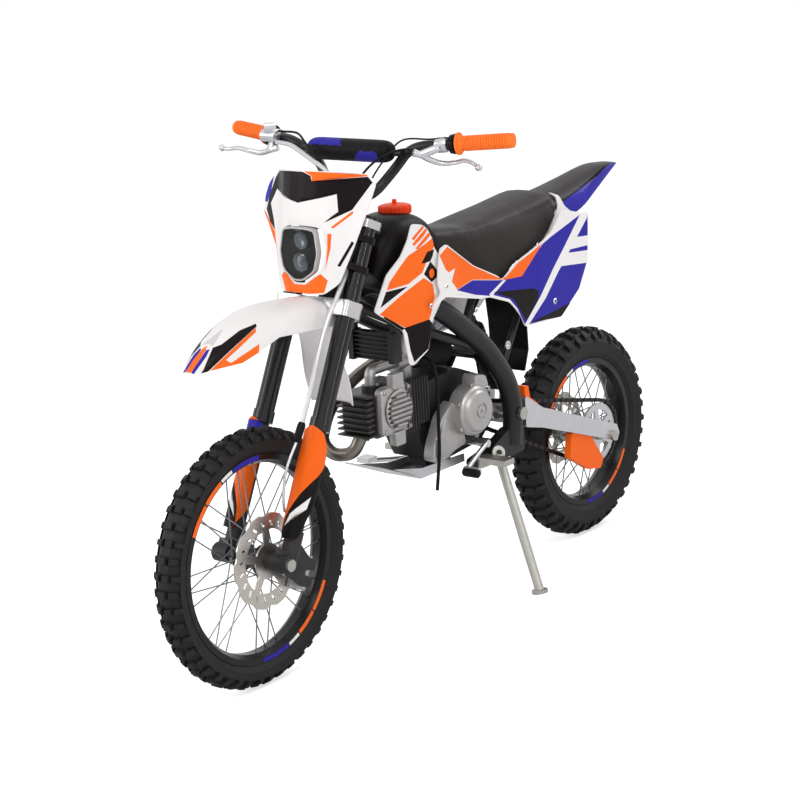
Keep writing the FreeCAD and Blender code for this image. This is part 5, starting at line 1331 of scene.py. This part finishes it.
def makeControls():
    # levers taper to a ball; perches clamp the bar; the right one carries the brake's reservoir
    for side, spots in levers.items():
        sign = np.array([1, 1 if side == "left" else -1, 1])
        path = smoothPath(spots, 3.0)
        share = np.linspace(0, 1, len(path))
        radii = np.interp(share, [0, 0.12, 0.6, 0.93, 0.95, 1], [8.5, 6.8, 5.4, 4.6, 4.6, 4.6])
        blade = swept(path, radii, 16)
        turn = turns(20)
        up = np.linspace(-np.pi / 2, np.pi / 2, 11)[1:-1, None]
        x, y, z = spots[-1]
        ball = pointGrid(x + 8 * np.cos(up) * np.cos(turn), y + 8 * np.cos(up) * np.sin(turn),
                         z + 8 * np.sin(up))
        clamp = barSleeve((172, 168, 150, 146), (15, 17, 17, 15), 24, sign)
        radii = (14, 20, 22, 20) if side == "left" else (16, 24, 25, 22)
        housing = barSleeve((141, 138, 128, 126), radii, 28, sign)
        arm = swept(smoothPath([alongBar(160) * sign, alongBar(160, 4, 14) * sign, spots[1]], 3.0), 9.0, 14)
        solids = [blade, (ball, tube(9, 20)), clamp, arm]
        if side == "right":
            seat = alongBar(158, -6, 26) * sign
            socket = seat + [(0, y, 0) for y in (-22, -20, 20, 22)]
            solids.append(swept(socket, (11, 14, 14, 11), 24))
            solids.append(swept(seat + [(0, 0, 8), (0, 0, 24), (0, 0, 27)], (19, 19, 16), 4))
        points, faces = joined([faceOut(*solid) for solid in solids])
        node = ("bar_controls",) if side == "left" else ()
        makePiece("lever_and_perch_" + side, points, faces, "steering", "brushedAlloy", node, "alloy", 40)
        makePiece("switch_housing_" + side, *faceOut(*housing), "steering", "blackPlastic", (),
                  "black_plastic", 40)


makeControls()

brakeLine = [(211, -212, 1105), (224, -160, 1102), (243, -112, 1090), (262, -66, 1078), (276, -20, 1062),
             (284, 26, 1020), (298, 54, 930), (326, 70, 866), (372, 81, 820), (420, 86, 770), (457, 88, 711),
             (498, 88, 623), (530, 86, 559), (548, 86, 530), (566, 86, 508), (583, 85, 480), (590, 82, 446),
             (588, 76, 414), (576, 66, 386)]


def makeBrakeLine():
    path = smoothPath(brakeLine, 5.0)
    radius = np.interp(path[:, 2], [520, 545, 570, 1110], [3.0, 3.2, 5.2, 5.2])
    points, faces = faceOut(*swept(path, radius, 12))
    makePiece("brake_line", points, faces, "steering", "braidedHose", ("brake_hose",), "alloy", 60)
    collar = faceOut(*swept([(524, 86.5, 570), (527, 86.5, 564), (543, 86, 538), (546, 86, 532)],
                            (7, 9, 9, 7), 16))
    makePiece("brake_line_clamp", *collar, "steering", "blackPlastic", (), "black_plastic", 40)


makeBrakeLine()
print("details")


# Rim stickers

rimBands = dict(
    # first angle, last angle (degrees up from straight ahead) and film, twice round each rim
    arcs=[(28, 46, "orangeFilm"), (47, 62, "orangeFilm"), (63, 72, "whiteFilm"), (73, 94, "blueFilm")],
    front=dict(centre=frontTyre["centre"], inner=216.5, outer=226.0, side=24.0, body="front_wheel"),
    rear=dict(centre=rearTyre["centre"], inner=176.5, outer=185.0, side=29.0, body="rear_wheel"),
)


def makeRimBands():
    films = {film: k for k, film in enumerate(["orangeFilm", "whiteFilm", "blueFilm"])}
    for tag in ("front", "rear"):
        band = rimBands[tag]
        x, _, z = band["centre"]
        solids, slots = [], []
        for side in (1, -1):
            for turn in (0, 180):
                for first, last, film in rimBands["arcs"]:
                    a = np.radians(np.linspace(first, last, 14) + turn)[:, None]
                    inner = band["inner"] + 2 * (film == "whiteFilm")
                    r = np.array([inner, band["outer"], band["outer"], inner])
                    y = side * (band["side"] + np.array([-0.6, -0.6, 0.5, 0.5]))
                    solid = faceOut(pointGrid(x + r * np.cos(a), y, z + r * np.sin(a)), tube(14, 4))
                    solids.append(solid)
                    slots += [films[film]] * len(solid[1])
        points, faces = joined(solids)
        piece = makePiece(tag + "_rim_stickers", points, faces, band["body"], tuple(films), (),
                          "orange_plastic", 30)
        piece.data.polygons.foreach_set("material_index", np.array(slots, np.int32))


makeRimBands()
print("stickers")
